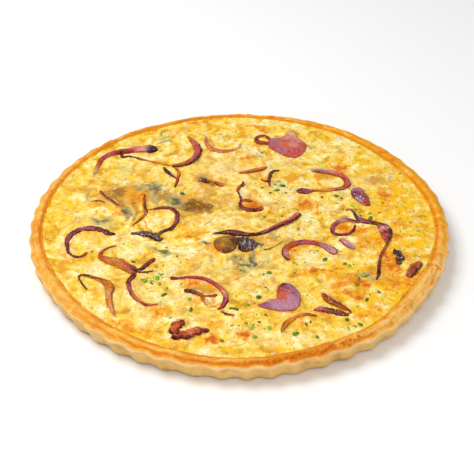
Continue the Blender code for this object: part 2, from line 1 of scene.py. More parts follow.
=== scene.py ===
"""Caramelised onion quiche: the looks of a whole, shallow, fluted savoury tart.

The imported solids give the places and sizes. The pastry case, the baked custard, each piece of
caramelised onion and the chopped herbs are then modelled finely over them.
"""

import math
import random

import bmesh
import bpy
import numpy as np
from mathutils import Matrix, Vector, noise


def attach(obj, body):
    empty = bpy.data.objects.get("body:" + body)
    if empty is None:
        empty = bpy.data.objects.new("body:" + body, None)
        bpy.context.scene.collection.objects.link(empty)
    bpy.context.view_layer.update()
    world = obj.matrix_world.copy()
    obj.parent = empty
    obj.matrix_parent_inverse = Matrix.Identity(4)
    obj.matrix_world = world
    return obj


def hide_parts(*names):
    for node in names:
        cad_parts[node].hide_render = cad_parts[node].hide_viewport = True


bl_info = {
    "name": "Caramelised Onion Quiche",
    "version": (1, 0, 0),
    "blender": (4, 5, 0),
    "location": "View3D > Sidebar > Quiche",
    "description": "Models the case, custard, onion and herbs of a whole savoury tart",
    "category": "Add Mesh",
}

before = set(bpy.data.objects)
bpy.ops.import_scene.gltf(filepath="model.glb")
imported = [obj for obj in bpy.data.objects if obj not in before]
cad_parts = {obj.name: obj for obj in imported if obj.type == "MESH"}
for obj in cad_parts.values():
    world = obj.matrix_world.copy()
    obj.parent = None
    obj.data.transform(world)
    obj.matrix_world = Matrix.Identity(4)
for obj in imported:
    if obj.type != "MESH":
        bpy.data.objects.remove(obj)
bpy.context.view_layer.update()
MM = 0.001

# Pastry case, as the solid has it, with the rows and finishes that the scene adds
FLUTES = 53
FLUTE_DEPTH = 0.0024
FLUTE_DEPTH_SHARE = 0.86
FLUTE_DEPTH_SPREAD = 0.34
FLUTE_DRIFT = 0.9
FLUTE_LEAN = 0.22
HEIGHT_PACE = 2.2
DEPTH_PACE = 3.1
DRIFT_PACE = 3.4
RIM_HEIGHT = 0.0143
RIM_UNEVENNESS = 0.0005
FLOOR_THICKNESS = 0.0032
FOOT_INSET = 0.0041
EDGE_DROP = 0.0014
INNER_LIP = 0.0014
EDGE_ROUND = 0.0010
EDGE_SWELL = 0.0005
WALL_SHARES = (0.14, 0.22, 0.30, 0.38, 0.46, 0.54, 0.62, 0.70, 0.78, 0.85, 0.91, 0.96)
RIM_STEPS = 19
# Finishes of the case: the crease is browned and deepened by painted shade, the bead is a paler edge with a
# painted highlight, and the foot is painted shade near the floor.
FINISHES = ("rim", "crease_browning_and_shade", "bead_and_highlight", "scorch", "peach", "foot")
# Angle in degrees from +X, and the rim's outer radius there without flutes.
RIM_RADII = (
    (0, 0.1298), (12, 0.1300), (34, 0.1295), (64, 0.1297), (85, 0.1279), (95, 0.1281),
    (104, 0.1286), (115, 0.1275), (128, 0.1288), (165, 0.1293), (190, 0.1290), (213, 0.1282),
    (231, 0.1281), (250, 0.1285), (265, 0.1290), (275, 0.1293), (286, 0.1283), (296, 0.1282),
    (309, 0.1290), (325, 0.1282), (345, 0.1294),
)
# Angle in degrees from +X, and the rim's width there: at the front a little less than the solid's.
RIM_WIDTHS = (
    (0, 0.0085), (35, 0.0095), (62, 0.0078), (90, 0.0052), (145, 0.0064), (180, 0.0076),
    (212, 0.0096), (240, 0.0086), (270, 0.0070), (300, 0.0080), (328, 0.0104),
)
# Angle in degrees from +X, and how much of the flutes' depth the rim's edge still has there.
RIM_FLUTE_SHARES = (
    (0, 0.45), (60, 0.22), (90, 0.16), (120, 0.22), (180, 0.45), (215, 0.75), (250, 1.0),
    (290, 1.0), (325, 0.75),
)

# Angle in degrees from +X, and how strongly one of the rim's features shows there: its creases,
# browned and deepened by painted shade, its pale folds, its crumbly stretch, its hanging edge and
# the baked bead along that edge with its painted highlight.
OUTER_CREASES = (
    (0, 0.15), (90, 0.05), (180, 0.1), (210, 0.25), (232, 0.6), (252, 0.95), (285, 1.0), (300, 0.6),
    (330, 0.2),
)
INNER_CREASES = (
    (0, 0.85), (45, 0.9), (90, 0.85), (140, 0.75), (180, 1.0), (210, 0.6), (240, 0.6), (265, 0.55),
    (290, 0.45), (310, 0.4), (330, 0.35), (345, 0.7),
)
PALE_BANDS = (
    (0, 0.1), (45, 0.0), (90, 0.1), (140, 0.35), (170, 0.5), (200, 0.6), (225, 0.5), (255, 0.6),
    (280, 0.4), (300, 0.5), (314, 1.3), (338, 1.3), (350, 0.3),
)
CRUMBLY_BANDS = ((0, 0.0), (180, 0.0), (264, 0.1), (280, 0.9), (298, 1.0), (309, 0.1), (330, 0.0))
EDGE_DROOPS = ((0, 0.2), (60, 0.0), (180, 0.2), (215, 0.5), (250, 1.0), (290, 1.0), (325, 0.5))
EDGE_BEADS_AND_HIGHLIGHTS = (
    (0, 0.2), (90, 0.0), (170, 0.35), (215, 0.5), (245, 0.85), (270, 1.0), (300, 0.8), (330, 0.6),
)
# Each crack in the rim: its angle in degrees from +X, its width in degrees and its depth.
RIM_CRACKS = (
    (175.5, 0.9, 0.0009), (357.0, 0.8, 0.0010), (338.5, 1.0, 0.0013), (322.0, 0.7, 0.0006),
    (312.0, 0.6, 0.0006), (204.0, 0.7, 0.0005), (346.5, 0.5, 0.0005), (146.0, 0.6, 0.0005),
)
# Fine relief of the baked pastry: how far apart its crumbs, fine crumbs and lumps are.
CRUMB_LENGTH = 0.0032
FINE_CRUMB_LENGTH = 0.0014
LUMP_LENGTH = 0.011

# Custard, as the solid has it, and its finer skin
CUSTARD_LEVEL = 0.0134
CUSTARD_EDGE_DIP = 0.0006
CUSTARD_CLEARANCE = 0.0004
SWELL_HEIGHT = 0.0009
SWELL_LENGTH = 0.030
RIPPLE_HEIGHT = 0.0006
RIPPLE_LENGTH = 0.012
DIP_WIDTH = 0.006
CALM_WIDTH = 0.010
# Each size of lump in the custard's skin: how far apart the lumps are, their seed and their height.
SKIN_LUMPS = ((0.0074, 7.0, 0.00080), (0.0036, 17.0, 0.00050), (0.0018, 27.0, 0.00022))
# How far the skin reaches under the rim.
SKIN_OVERLAP = 0.0003
# How far the painted places' edges stray, and the lengths over which they sway and fray.
STRAY_WIDTH = 0.0026
SWAY_LENGTH = 0.006
FRAY_LENGTH = 0.0025
# How wide the custard is painted darker beside the onion, partly browning and partly painted
# shadow, how wide it climbs the onion, and how it rises against the rim.
BROWNING_AND_SHADOW_WIDTH = 0.0010
CLIMB_WIDTH = 0.0016
EDGE_RISE = 0.0007
EDGE_RISE_WIDTH = 0.0022

# Onion, as the solids have it, and how finely it is modelled
STRIP_FLATNESS = 0.46
RESTING_CLEARANCE = 0.0004
STRIP_SIDES = 24
STRIP_SPACING = 0.0007
STRIP_RIB = 0.00022
PETAL_CROWN = 0.0016
PETAL_LIFT = 0.0009
PETAL_THICKNESS = 0.0010
PETAL_RIB = 0.00007
PETAL_CURL = 0.00045
PETAL_RINGS = 22
PETAL_COLUMNS = 84

# Herbs: greens in a screen's 0 to 255 steps, and the length from which a flake is a leaf
HERB_GREENS = ((96, 140, 26), (132, 176, 40), (168, 196, 66), (70, 108, 20), (84, 128, 36))
LEAF_LENGTH = 0.0015
FLAKE_THICKNESS = 0.00026
# The flakes are cut a little larger than the table gives, since their corners are torn off.
FLAKE_SCALE = 1.2
# The specks lie within a distance of the middle, clear of the onion.
SPECK_REACH = 0.115
SPECK_CLEARANCE = 0.0012

# Stage: half the floor's width, and the front light's share of the main one's power
FLOOR_REACH = 3
FRONT_LIGHT_SHARE = 0.43

# The cooked onion's tones, in a screen's 0 to 255 steps
TONES = {
    "charred": (22, 10, 16), "ink": (50, 28, 70), "plum": (98, 18, 48), "maroon": (108, 20, 26),
    "oxblood": (128, 24, 12), "crimson": (172, 18, 62), "mauve": (164, 70, 96),
    "lilac": (194, 140, 166), "blush": (232, 150, 134), "rose": (204, 84, 84),
    "salmon": (226, 108, 56), "rust": (186, 72, 10), "umber": (104, 48, 10),
    "caramel": (206, 122, 26), "amber": (232, 138, 16), "tan": (220, 164, 104),
    "peach": (240, 188, 126), "olive": (128, 98, 28), "gold": (196, 150, 50),
    # On this line the pale grey tone and the shell tone are painted glints and highlights, not the onion's
    # colour; dusk is the onion's colour.
    "glint_white": (196, 190, 186), "shell": (250, 186, 168), "dusk": (160, 108, 136),
}


class Strip:
    """A strip of onion: its strands, its edges' tones, its roll in degrees and how ragged it is.

    Each strand is a route of points: x, y and width in millimetres, and the tone there.
    """

    def __init__(self, *routes, left=None, right=None, roll=0.0, jag=0.06, glossy=False):
        self.routes = routes
        self.left = left
        self.right = right
        self.roll = roll
        self.jag = jag
        self.glossy = glossy


STRIPS = {
    "onion_curl_left": Strip(
        ((-75.6, -15, 2.2, "charred"), (-80, -15, 3.8, "charred"), (-85, -12, 4.2, "plum"),
         (-91, -10.5, 4.0, "mauve"), (-97, -11.5, 4.0, "mauve"), (-102, -15.5, 3.7, "plum"),
         (-104, -21.5, 3.0, "mauve"), (-103.3, -28.5, 2.4, "plum"), (-101, -34.5, 2.2, "maroon"),
         (-97, -37.5, 2.2, "maroon"), (-93.3, -36.5, 2.0, "rust"), (-91, -33.5, 1.5, "rust")),
        left="umber", right="charred", roll=-14, jag=0.2,
    ),
    "onion_hook_left": Strip(
        ((-87, -67.5, 1.2, "umber"), (-90.5, -62.5, 1.6, "charred"), (-93, -57.5, 1.6, "charred"),
         (-91.3, -54.8, 1.8, "charred"), (-86, -56.3, 2.6, "umber"), (-80, -58.8, 3.5, "rust"),
         (-76, -62.3, 4.8, "caramel"), (-74, -67.5, 5.0, "amber"), (-74, -73.5, 4.4, "tan"),
         (-73, -79.5, 3.8, "amber"), (-71, -85.5, 2.8, "tan"), (-69, -89.5, 1.4, "salmon")),
        left="rust", right="amber", jag=0.08,
    ),
    "onion_twist_left": Strip(
        ((-74, -27, 1.4, "amber"), (-79, -29.5, 2.0, "rust"), (-83, -34.5, 2.8, "salmon"),
         (-81.5, -39, 3.8, "rust"), (-76, -42, 6.6, "caramel"), (-71, -44, 7.4, "caramel"),
         (-66, -47.5, 6.4, "rust"), (-61.5, -50.5, 5.6, "maroon"), (-59.6, -52, 3.4, "maroon")),
        left="maroon", right="amber", roll=10, jag=0.1,
    ),
    "onion_twist_arm": Strip(
        ((-60.4, -51.4, 2.4, "maroon"), (-57.4, -48.5, 3.0, "plum"), (-55.5, -46, 3.2, "maroon"),
         (-53, -43, 3.3, "maroon"), (-49.8, -39.8, 3.2, "maroon")),
        ((-59, -52, 1.6, "maroon"), (-54.6, -51.6, 2.2, "umber"), (-49.6, -50.2, 1.0, "maroon")),
        left="mauve", right="umber", jag=0.14,
    ),
    "onion_twist_tail": Strip(
        ((-60.8, -52.6, 2.8, "maroon"), (-62.3, -56.8, 3.4, "maroon"), (-64, -60.5, 3.2, "maroon"),
         (-63, -66, 3.0, "mauve"), (-61, -72, 2.8, "rust"), (-57.5, -77, 2.6, "salmon"),
         (-53, -80.3, 2.4, "rust"), (-49, -80.8, 2.2, "salmon"), (-45.5, -79.8, 1.4, "rust")),
        left="maroon", right="umber",
    ),
    "onion_curl_back_left": Strip(
        ((-96, 48, 1.6, "tan"), (-95, 54.5, 2.8, "tan"), (-94, 61.5, 3.8, "rust"),
         (-91, 68.5, 4.3, "rose"), (-86, 73.5, 4.6, "rose"), (-80, 76.5, 5.2, "oxblood"),
         (-73, 78.5, 5.2, "rose"), (-66, 79.5, 6.2, "blush"), (-60.5, 79.5, 8.0, "ink"),
         (-55.6, 78.6, 6.0, "charred")),
        roll=8,
    ),
    "onion_strand_back_left": Strip(
        ((-80, 74.4, 2.0, "oxblood"), (-78.5, 70.2, 2.4, "oxblood"), (-74, 70.8, 1.8, "umber"),
         (-66, 67.5, 1.7, "umber"), (-58, 64.3, 1.6, "rust"), (-51.5, 61.2, 1.7, "caramel"),
         (-46, 59.2, 1.4, "caramel")),
    ),
    "onion_arc_back_left": Strip(
        ((-35.5, 95.3, 1.8, "amber"), (-32, 89.3, 4.0, "salmon"), (-28.8, 82.3, 5.2, "rose"),
         (-28, 75.3, 5.4, "rose"), (-30, 68.3, 5.4, "mauve"), (-34, 62.8, 5.0, "rust"),
         (-39, 60.3, 4.2, "caramel"), (-45, 58.8, 3.4, "amber")),
        left="plum", right="rust", roll=10,
    ),
    "onion_fork_back_left": Strip(
        ((-42.4, 57.4, 1.6, "amber"), (-40, 52, 2.2, "caramel"), (-40.4, 44.5, 2.7, "rust"),
         (-41.8, 35, 1.6, "maroon")),
        ((-50.4, 57, 1.8, "umber"), (-47.5, 52.5, 3.0, "charred"), (-44, 48, 2.3, "maroon"),
         (-40.8, 44, 2.2, "rust")),
    ),
    "onion_smile_back": Strip(
        ((-23, 97.3, 1.3, "tan"), (-22.7, 90.3, 2.9, "rose"), (-21, 84.3, 3.7, "salmon"),
         (-17, 79, 3.8, "salmon"), (-11, 76.5, 3.8, "salmon"), (-5, 78, 3.0, "amber"),
         (-0.5, 81, 2.1, "peach"), (1.3, 86.3, 1.2, "tan")),
        left="blush", right="peach",
    ),
    "onion_ring_back": Strip(
        ((21, 86.6, 2.6, "rust"), (18.2, 87.2, 3.8, "oxblood"), (14.5, 88, 4.0, "oxblood"),
         (12.3, 91, 3.3, "maroon"), (13, 94.6, 3.1, "oxblood"), (16.3, 96.6, 3.2, "rust"),
         (19.6, 95, 2.9, "oxblood"), (21.8, 91.6, 1.8, "rust")),
        left="rust", right="salmon",
    ),
    "onion_brown_strip": Strip(
        ((0, 50, 1.8, "caramel"), (5, 51, 3.5, "caramel"), (11, 53.4, 3.7, "caramel"),
         (16, 55.6, 3.8, "amber"), (18.4, 58.2, 2.4, "rust")),
        left="caramel", right="rust",
    ),
    "onion_twig_back": Strip(
        ((27, 54.5, 1.3, "umber"), (23.2, 53.6, 2.2, "charred"), (21.2, 50.3, 2.5, "maroon"),
         (20.2, 45.5, 2.5, "umber"), (19.8, 39.5, 2.0, "maroon"), (20.4, 35, 1.2, "charred")),
        ((14.4, 42.8, 1.3, "rust"), (17, 41.2, 1.8, "rust"), (20, 40.4, 1.9, "umber")),
    ),
    "onion_hook_right": Strip(
        ((48.5, 52.8, 3.2, "lilac"), (54, 52.5, 4.4, "lilac"), (61, 51.3, 4.5, "blush"),
         (67, 48, 4.5, "rose"), (70.6, 43.2, 4.5, "rose"), (71, 37.6, 4.3, "rose"),
         (67.6, 33, 3.8, "rust"), (61, 31.2, 3.2, "amber"), (54, 30.7, 2.7, "amber"),
         (48.5, 30.6, 2.6, "rust"), (44.5, 30, 4.6, "mauve"), (40.3, 30, 5.6, "plum"),
         (37.3, 30, 3.6, "maroon")),
        left="mauve", right="rust", roll=-8,
    ),
    "onion_ladle": Strip(
        ((2.5, 40.3, 1.3, "umber"), (2.8, 37, 2.9, "maroon"), (0.3, 33.6, 2.7, "rust"),
         (-0.5, 30.3, 2.0, "rust"), (0.7, 25.4, 1.7, "umber"), (1.6, 20.5, 2.0, "umber"),
         (0.9, 16.5, 2.6, "maroon"), (2.0, 12.3, 3.4, "oxblood"), (5.6, 9.4, 3.6, "oxblood"),
         (10, 8.6, 3.9, "oxblood"), (13.8, 10.4, 3.4, "rust"), (14.8, 13.6, 1.8, "rust")),
        ((0.4, 18.6, 2.6, "oxblood"), (4.6, 19.6, 3.4, "rust"), (8.8, 18.4, 1.8, "oxblood")),
        left="rust", jag=0.14,
    ),
    "onion_long_strip": Strip(
        ((-16, -15, 1.3, "maroon"), (-11, -14.6, 3.0, "charred"), (-6, -14.2, 5.6, "plum"),
         (-1, -15, 5.4, "maroon"), (5, -16.6, 3.9, "plum"), (11, -16.2, 3.3, "maroon"),
         (16, -13.6, 3.4, "mauve"), (21, -9.8, 3.7, "mauve"), (27, -5.8, 4.1, "rose"),
         (32.5, -1.6, 5.0, "rose"), (35.5, 2.2, 5.2, "rose"), (37.4, 6.2, 4.8, "salmon")),
        left="mauve", right="oxblood", roll=-10,
    ),
    "onion_thin_centre": Strip(
        ((14.8, -31, 2.0, "umber"), (18.5, -30, 1.7, "olive"), (23, -26.4, 1.2, "gold"),
         (27, -21.6, 1.0, "gold")),
    ),
    "onion_arc_centre": Strip(
        ((29.8, -41, 2.8, "rose"), (27.8, -36.6, 4.1, "blush"), (28.2, -31.6, 4.5, "rose"),
         (31.5, -27, 4.6, "rust"), (37, -24.2, 4.5, "mauve"), (43, -23.8, 4.5, "rose"),
         (49, -26, 4.7, "mauve"), (54, -30.2, 5.1, "lilac"), (57.8, -35.6, 5.4, "blush")),
        left="maroon", right="rust", roll=12, jag=0.12,
    ),
    "onion_loop_right": Strip(
        ((75.4, -3.6, 2.4, "ink"), (71.4, -3.2, 3.0, "plum"), (68.4, -2.2, 3.4, "mauve"),
         (64, -2.6, 3.7, "lilac"), (60, -6.4, 3.8, "mauve"), (57.8, -11, 3.4, "mauve"),
         (58.6, -15.6, 2.8, "crimson"), (63.4, -16.6, 2.8, "crimson"), (68, -15.2, 2.8, "crimson"),
         (70.8, -11, 2.2, "plum"), (71.9, -6.2, 1.8, "plum")),
        left="amber", right="maroon", roll=-8,
    ),
    "onion_pale_tail": Strip(
        ((61.6, -20.6, 3.2, "rose"), (64, -24.2, 4.4, "blush"), (67, -28, 5.0, "lilac"),
         (69.6, -30.8, 3.2, "blush")),
        left="blush", right="mauve",
    ),
    "onion_arch_right": Strip(
        ((67.4, 7.8, 1.2, "amber"), (69.6, 9.9, 1.9, "caramel"), (72.2, 7, 2.1, "umber"),
         (73.6, 2.6, 2.6, "ink"), (76, -1.6, 4.2, "mauve"), (79.4, -3.2, 4.6, "mauve"),
         (83.4, -4.6, 3.6, "plum"), (87, -5.6, 3.2, "charred")),
        left="ink", right="umber",
    ),
    "onion_tail_right": Strip(
        ((90, -24.4, 1.8, "maroon"), (88.2, -29, 2.0, "rust"), (85.6, -34.2, 2.1, "rust"),
         (83.8, -40, 2.1, "umber"), (82.6, -46.4, 2.3, "maroon"), (81.4, -53.4, 2.4, "charred"),
         (79.6, -59.4, 1.5, "umber")),
        left="rust", right="charred",
    ),
    "onion_charred": Strip(
        ((93.4, -30.6, 2.4, "charred"), (95.2, -36, 5.2, "charred"), (95.4, -40.4, 5.6, "charred"),
         (94, -45.4, 3.0, "charred")),
        right="charred", jag=0.4, glossy=True,
    ),
    "onion_glazed": Strip(
        ((107.6, -43, 3.2, "oxblood"), (104.4, -47.2, 6.4, "rust"), (101.2, -52, 6.2, "oxblood"),
         (97.8, -56.8, 3.0, "rust")),
        left="oxblood", right="amber", jag=0.26, glossy=True,
    ),
    "onion_stem_left": Strip(
        ((-60.6, 26.4, 1.6, "rust"), (-60.5, 19.6, 2.4, "rust"), (-59.8, 12.6, 2.5, "umber"),
         (-58.6, 6.6, 2.6, "rust"), (-60, 2, 2.1, "caramel"), (-62.4, -2.4, 2.0, "rust"),
         (-66, -6.8, 1.5, "rust")),
        left="maroon", right="amber",
    ),
    "onion_ring_left": Strip(
        ((-59, 9.8, 1.5, "rust"), (-55.2, 9.6, 1.8, "rust"), (-52, 10.2, 2.5, "maroon"),
         (-47.6, 11, 2.9, "oxblood"), (-43, 10.2, 3.1, "maroon"), (-39.6, 6.4, 3.1, "plum"),
         (-38.2, 1, 3.1, "maroon"), (-39.4, -5, 3.2, "mauve"), (-42.2, -10.4, 3.4, "plum"),
         (-46.8, -13.2, 2.6, "charred"), (-49.8, -17.4, 1.8, "charred")),
        left="charred", right="mauve", roll=10,
    ),
    "onion_clump_dark": Strip(
        ((-66.4, -15.4, 1.8, "oxblood"), (-61, -15.6, 3.8, "charred"), (-55.4, -16.8, 5.6, "charred"),
         (-50.6, -19.6, 5.8, "charred"), (-47.2, -23, 3.4, "charred")),
        jag=0.34, glossy=True,
    ),
    "onion_sunken_left": Strip(
        ((-90, 30.4, 1.8, "umber"), (-87.4, 26, 2.5, "umber"), (-83.6, 21.4, 2.7, "maroon"),
         (-80, 17.8, 2.7, "umber"), (-76.4, 13.4, 2.2, "rose")),
        left="maroon", right="tan",
    ),
    "onion_line_left": Strip(
        ((-94, 18.4, 1.0, "maroon"), (-89.6, 19, 1.9, "maroon"), (-85.4, 17.2, 1.8, "rust")),
    ),
    "onion_magenta_arc": Strip(
        ((-40, -57.4, 2.6, "umber"), (-35, -58, 2.4, "crimson"), (-29, -57.6, 2.8, "crimson"),
         (-22, -58.6, 3.1, "crimson"), (-16, -61.6, 3.2, "crimson"), (-11.4, -66.2, 3.3, "rose"),
         (-8.3, -71.6, 3.3, "blush"), (-7.6, -77, 3.1, "mauve"), (-9.4, -82, 2.8, "crimson"),
         (-12.4, -84.8, 2.0, "rose")),
        left="maroon", right="rust", roll=8,
    ),
    "onion_fold_front": Strip(
        ((-31.4, -68.4, 3.2, "umber"), (-26, -70, 3.1, "umber"), (-21.6, -73, 2.6, "rust"),
         (-20.2, -77, 2.4, "caramel"), (-18.4, -81.4, 2.2, "amber")),
        ((-20.8, -74, 1.9, "rust"), (-16, -73.8, 2.1, "rust"), (-12.2, -73, 1.7, "rust")),
    ),
    "onion_tail_front": Strip(
        ((-9.6, -86.6, 1.8, "charred"), (-7, -88.6, 2.2, "maroon"), (-2.4, -89, 1.4, "amber")),
    ),
    "onion_chunk_front": Strip(
        ((-30.4, -94.4, 4.4, "oxblood"), (-34, -97.2, 6.8, "rust"), (-35.4, -101.6, 6.4, "salmon"),
         (-34, -105.8, 6.4, "oxblood"), (-30.4, -105.2, 6.6, "rust"), (-26.4, -103.4, 5.4, "salmon"),
         (-21.6, -102.2, 5.4, "rust"), (-16.4, -102, 4.2, "oxblood")),
        left="rust", right="oxblood", jag=0.52,
    ),
    "onion_orange_curl": Strip(
        ((23, -104, 1.4, "amber"), (24.8, -98.6, 3.0, "caramel"), (28.5, -93.6, 3.4, "amber"),
         (33.5, -90.3, 3.1, "amber"), (38.5, -89.4, 2.7, "rust"), (43, -91, 1.5, "maroon")),
        left="umber", right="amber",
    ),
    "onion_v_upper": Strip(
        ((47.5, -71.8, 2.4, "maroon"), (49.5, -75.8, 4.2, "rust"), (54, -80.4, 4.2, "umber"),
         (58.4, -83.4, 3.0, "rust"), (61.2, -85.2, 2.2, "maroon"), (62.4, -87.6, 1.4, "maroon")),
        left="oxblood", right="caramel", jag=0.18,
    ),
    "onion_v_lower": Strip(
        ((41.6, -85.4, 2.0, "rose"), (46, -85, 4.3, "rose"), (51.5, -86.8, 5.0, "plum"),
         (57, -88.2, 3.8, "oxblood"), (61.6, -88.2, 1.8, "oxblood")),
        left="maroon", right="oxblood", jag=0.2, glossy=True,
    ),
    "onion_bit_back": Strip(
        ((-27, 43, 2.2, "amber"), (-23, 42, 4.0, "umber"), (-18.6, 39.6, 2.8, "olive")),
        jag=0.2,
    ),
    "onion_crumb_back": Strip(
        ((-15.6, 39.6, 1.6, "umber"), (-13.2, 37.6, 3.8, "rust"), (-10, 35.4, 1.8, "caramel")),
        jag=0.14,
    ),
}


class Petal:
    """A leaf of onion: its outline and places on it with their tones, all in millimetres.

    Its edge has a tone of its own, partly the onion's darker edge and partly painted shade under its
    rolled rim; its folds have a height in metres, and its ridges a number.
    """

    def __init__(self, outline, tones, edge="maroon", folds=0.0, glossy=False, ridges=7):
        self.outline = outline
        self.tones = tones
        self.edge = edge
        self.folds = folds
        self.glossy = glossy
        self.ridges = ridges


PETALS = {
    "onion_petal_back": Petal(
        ((20, 87), (22, 92.6), (28, 93.6), (32.4, 97.4), (35.6, 103), (40, 101.6), (40.4, 96),
         (44, 90), (46.6, 84), (44.6, 75.6), (38.6, 68.6), (31.6, 70.6), (24.6, 76.6), (21, 81.6)),
        ((22, 84, "dusk"), (26, 91, "dusk"), (33, 92, "blush"), (38, 100, "peach"), (31, 83, "salmon"),
         (38, 83, "blush"), (44, 84, "rose"), (37, 73, "rose"), (27, 77, "dusk"), (42, 91, "blush"),
         (32, 88, "rose"), (24, 80, "rose"), (40, 77, "rose")),
        edge="rust",
    ),
    "onion_petal_right": Petal(
        ((72.6, 23), (72.4, 29), (75.6, 33.4), (79.6, 32.8), (82, 27), (83.4, 20), (83.6, 14.4),
         (80.6, 13.6), (76, 17.4)),
        ((76, 30, "dusk"), (74, 25, "plum"), (79, 29, "rose"), (78, 20, "dusk"), (81, 22, "oxblood"),
         (82, 16, "rust")),
        edge="maroon", glossy=True,
    ),
    "onion_petal_front": Petal(
        ((25.4, -61.4), (30.4, -63.8), (34, -69.6), (34.8, -77), (32.4, -84.4), (25, -86.4),
         (16.6, -85), (10.4, -82), (15, -79.4), (20.4, -78), (21.4, -72), (22.2, -65.8)),
        ((25, -63, "maroon"), (22.5, -70, "rust"), (24.5, -76, "salmon"), (29, -66, "dusk"),
         (32, -71, "dusk"), (28.4, -77, "lilac"), (32, -81, "lilac"), (22, -82.6, "lilac"),
         (13, -82, "dusk"), (27, -71, "rose"), (26, -84.4, "lilac")),
        edge="rust",
    ),
    "onion_petal_crescent": Petal(
        ((86, -5), (89.4, -4.6), (92.8, -8.4), (94.2, -14), (93, -20.6), (89.8, -26),
         (87.6, -21), (86.2, -15), (85.4, -9.6)),
        # The shell tone here is a painted glint.
        ((88, -7, "charred"), (91, -9, "oxblood"), (92.8, -14, "charred"), (88.4, -12, "shell"),
         (89.6, -16, "oxblood"), (88, -20, "rose"), (91, -21, "maroon"), (90.4, -12, "rust"),
         (87, -10, "rose")),
        edge="charred", folds=0.0008, glossy=True,
    ),
    "onion_amber_disc": Petal(
        ((-14.4, -21.4), (-8, -18.4), (-1.6, -18.8), (-0.8, -26), (-3, -31.8), (-8, -35),
         (-12.6, -32.6), (-15, -27.6)),
        ((-13, -26, "olive"), (-8, -24, "gold"), (-5, -29, "olive"), (-10, -29, "gold"),
         (-4, -24, "umber"), (-8, -33, "umber"), (-7, -27, "olive"), (-12, -31, "rust")),
        edge="umber", ridges=3,
    ),
    "onion_black_fold": Petal(
        ((-0.8, -19.8), (5.4, -20.2), (11, -24.6), (10, -29.4), (4.4, -33), (0, -31.4), (-1, -26)),
        # The pale grey tones here are painted glints on the black fold.
        ((1, -24, "charred"), (3, -26.6, "glint_white"), (4.6, -24, "charred"), (6.4, -27.4, "glint_white"),
         (8.4, -25.6, "ink"), (3, -31, "charred"), (5, -29.6, "charred"), (0.8, -29, "charred"),
         (7.6, -29, "charred"), (2, -27.8, "charred"), (5, -27, "charred")),
        edge="charred", folds=0.0011, glossy=True, ridges=5,
    ),
}

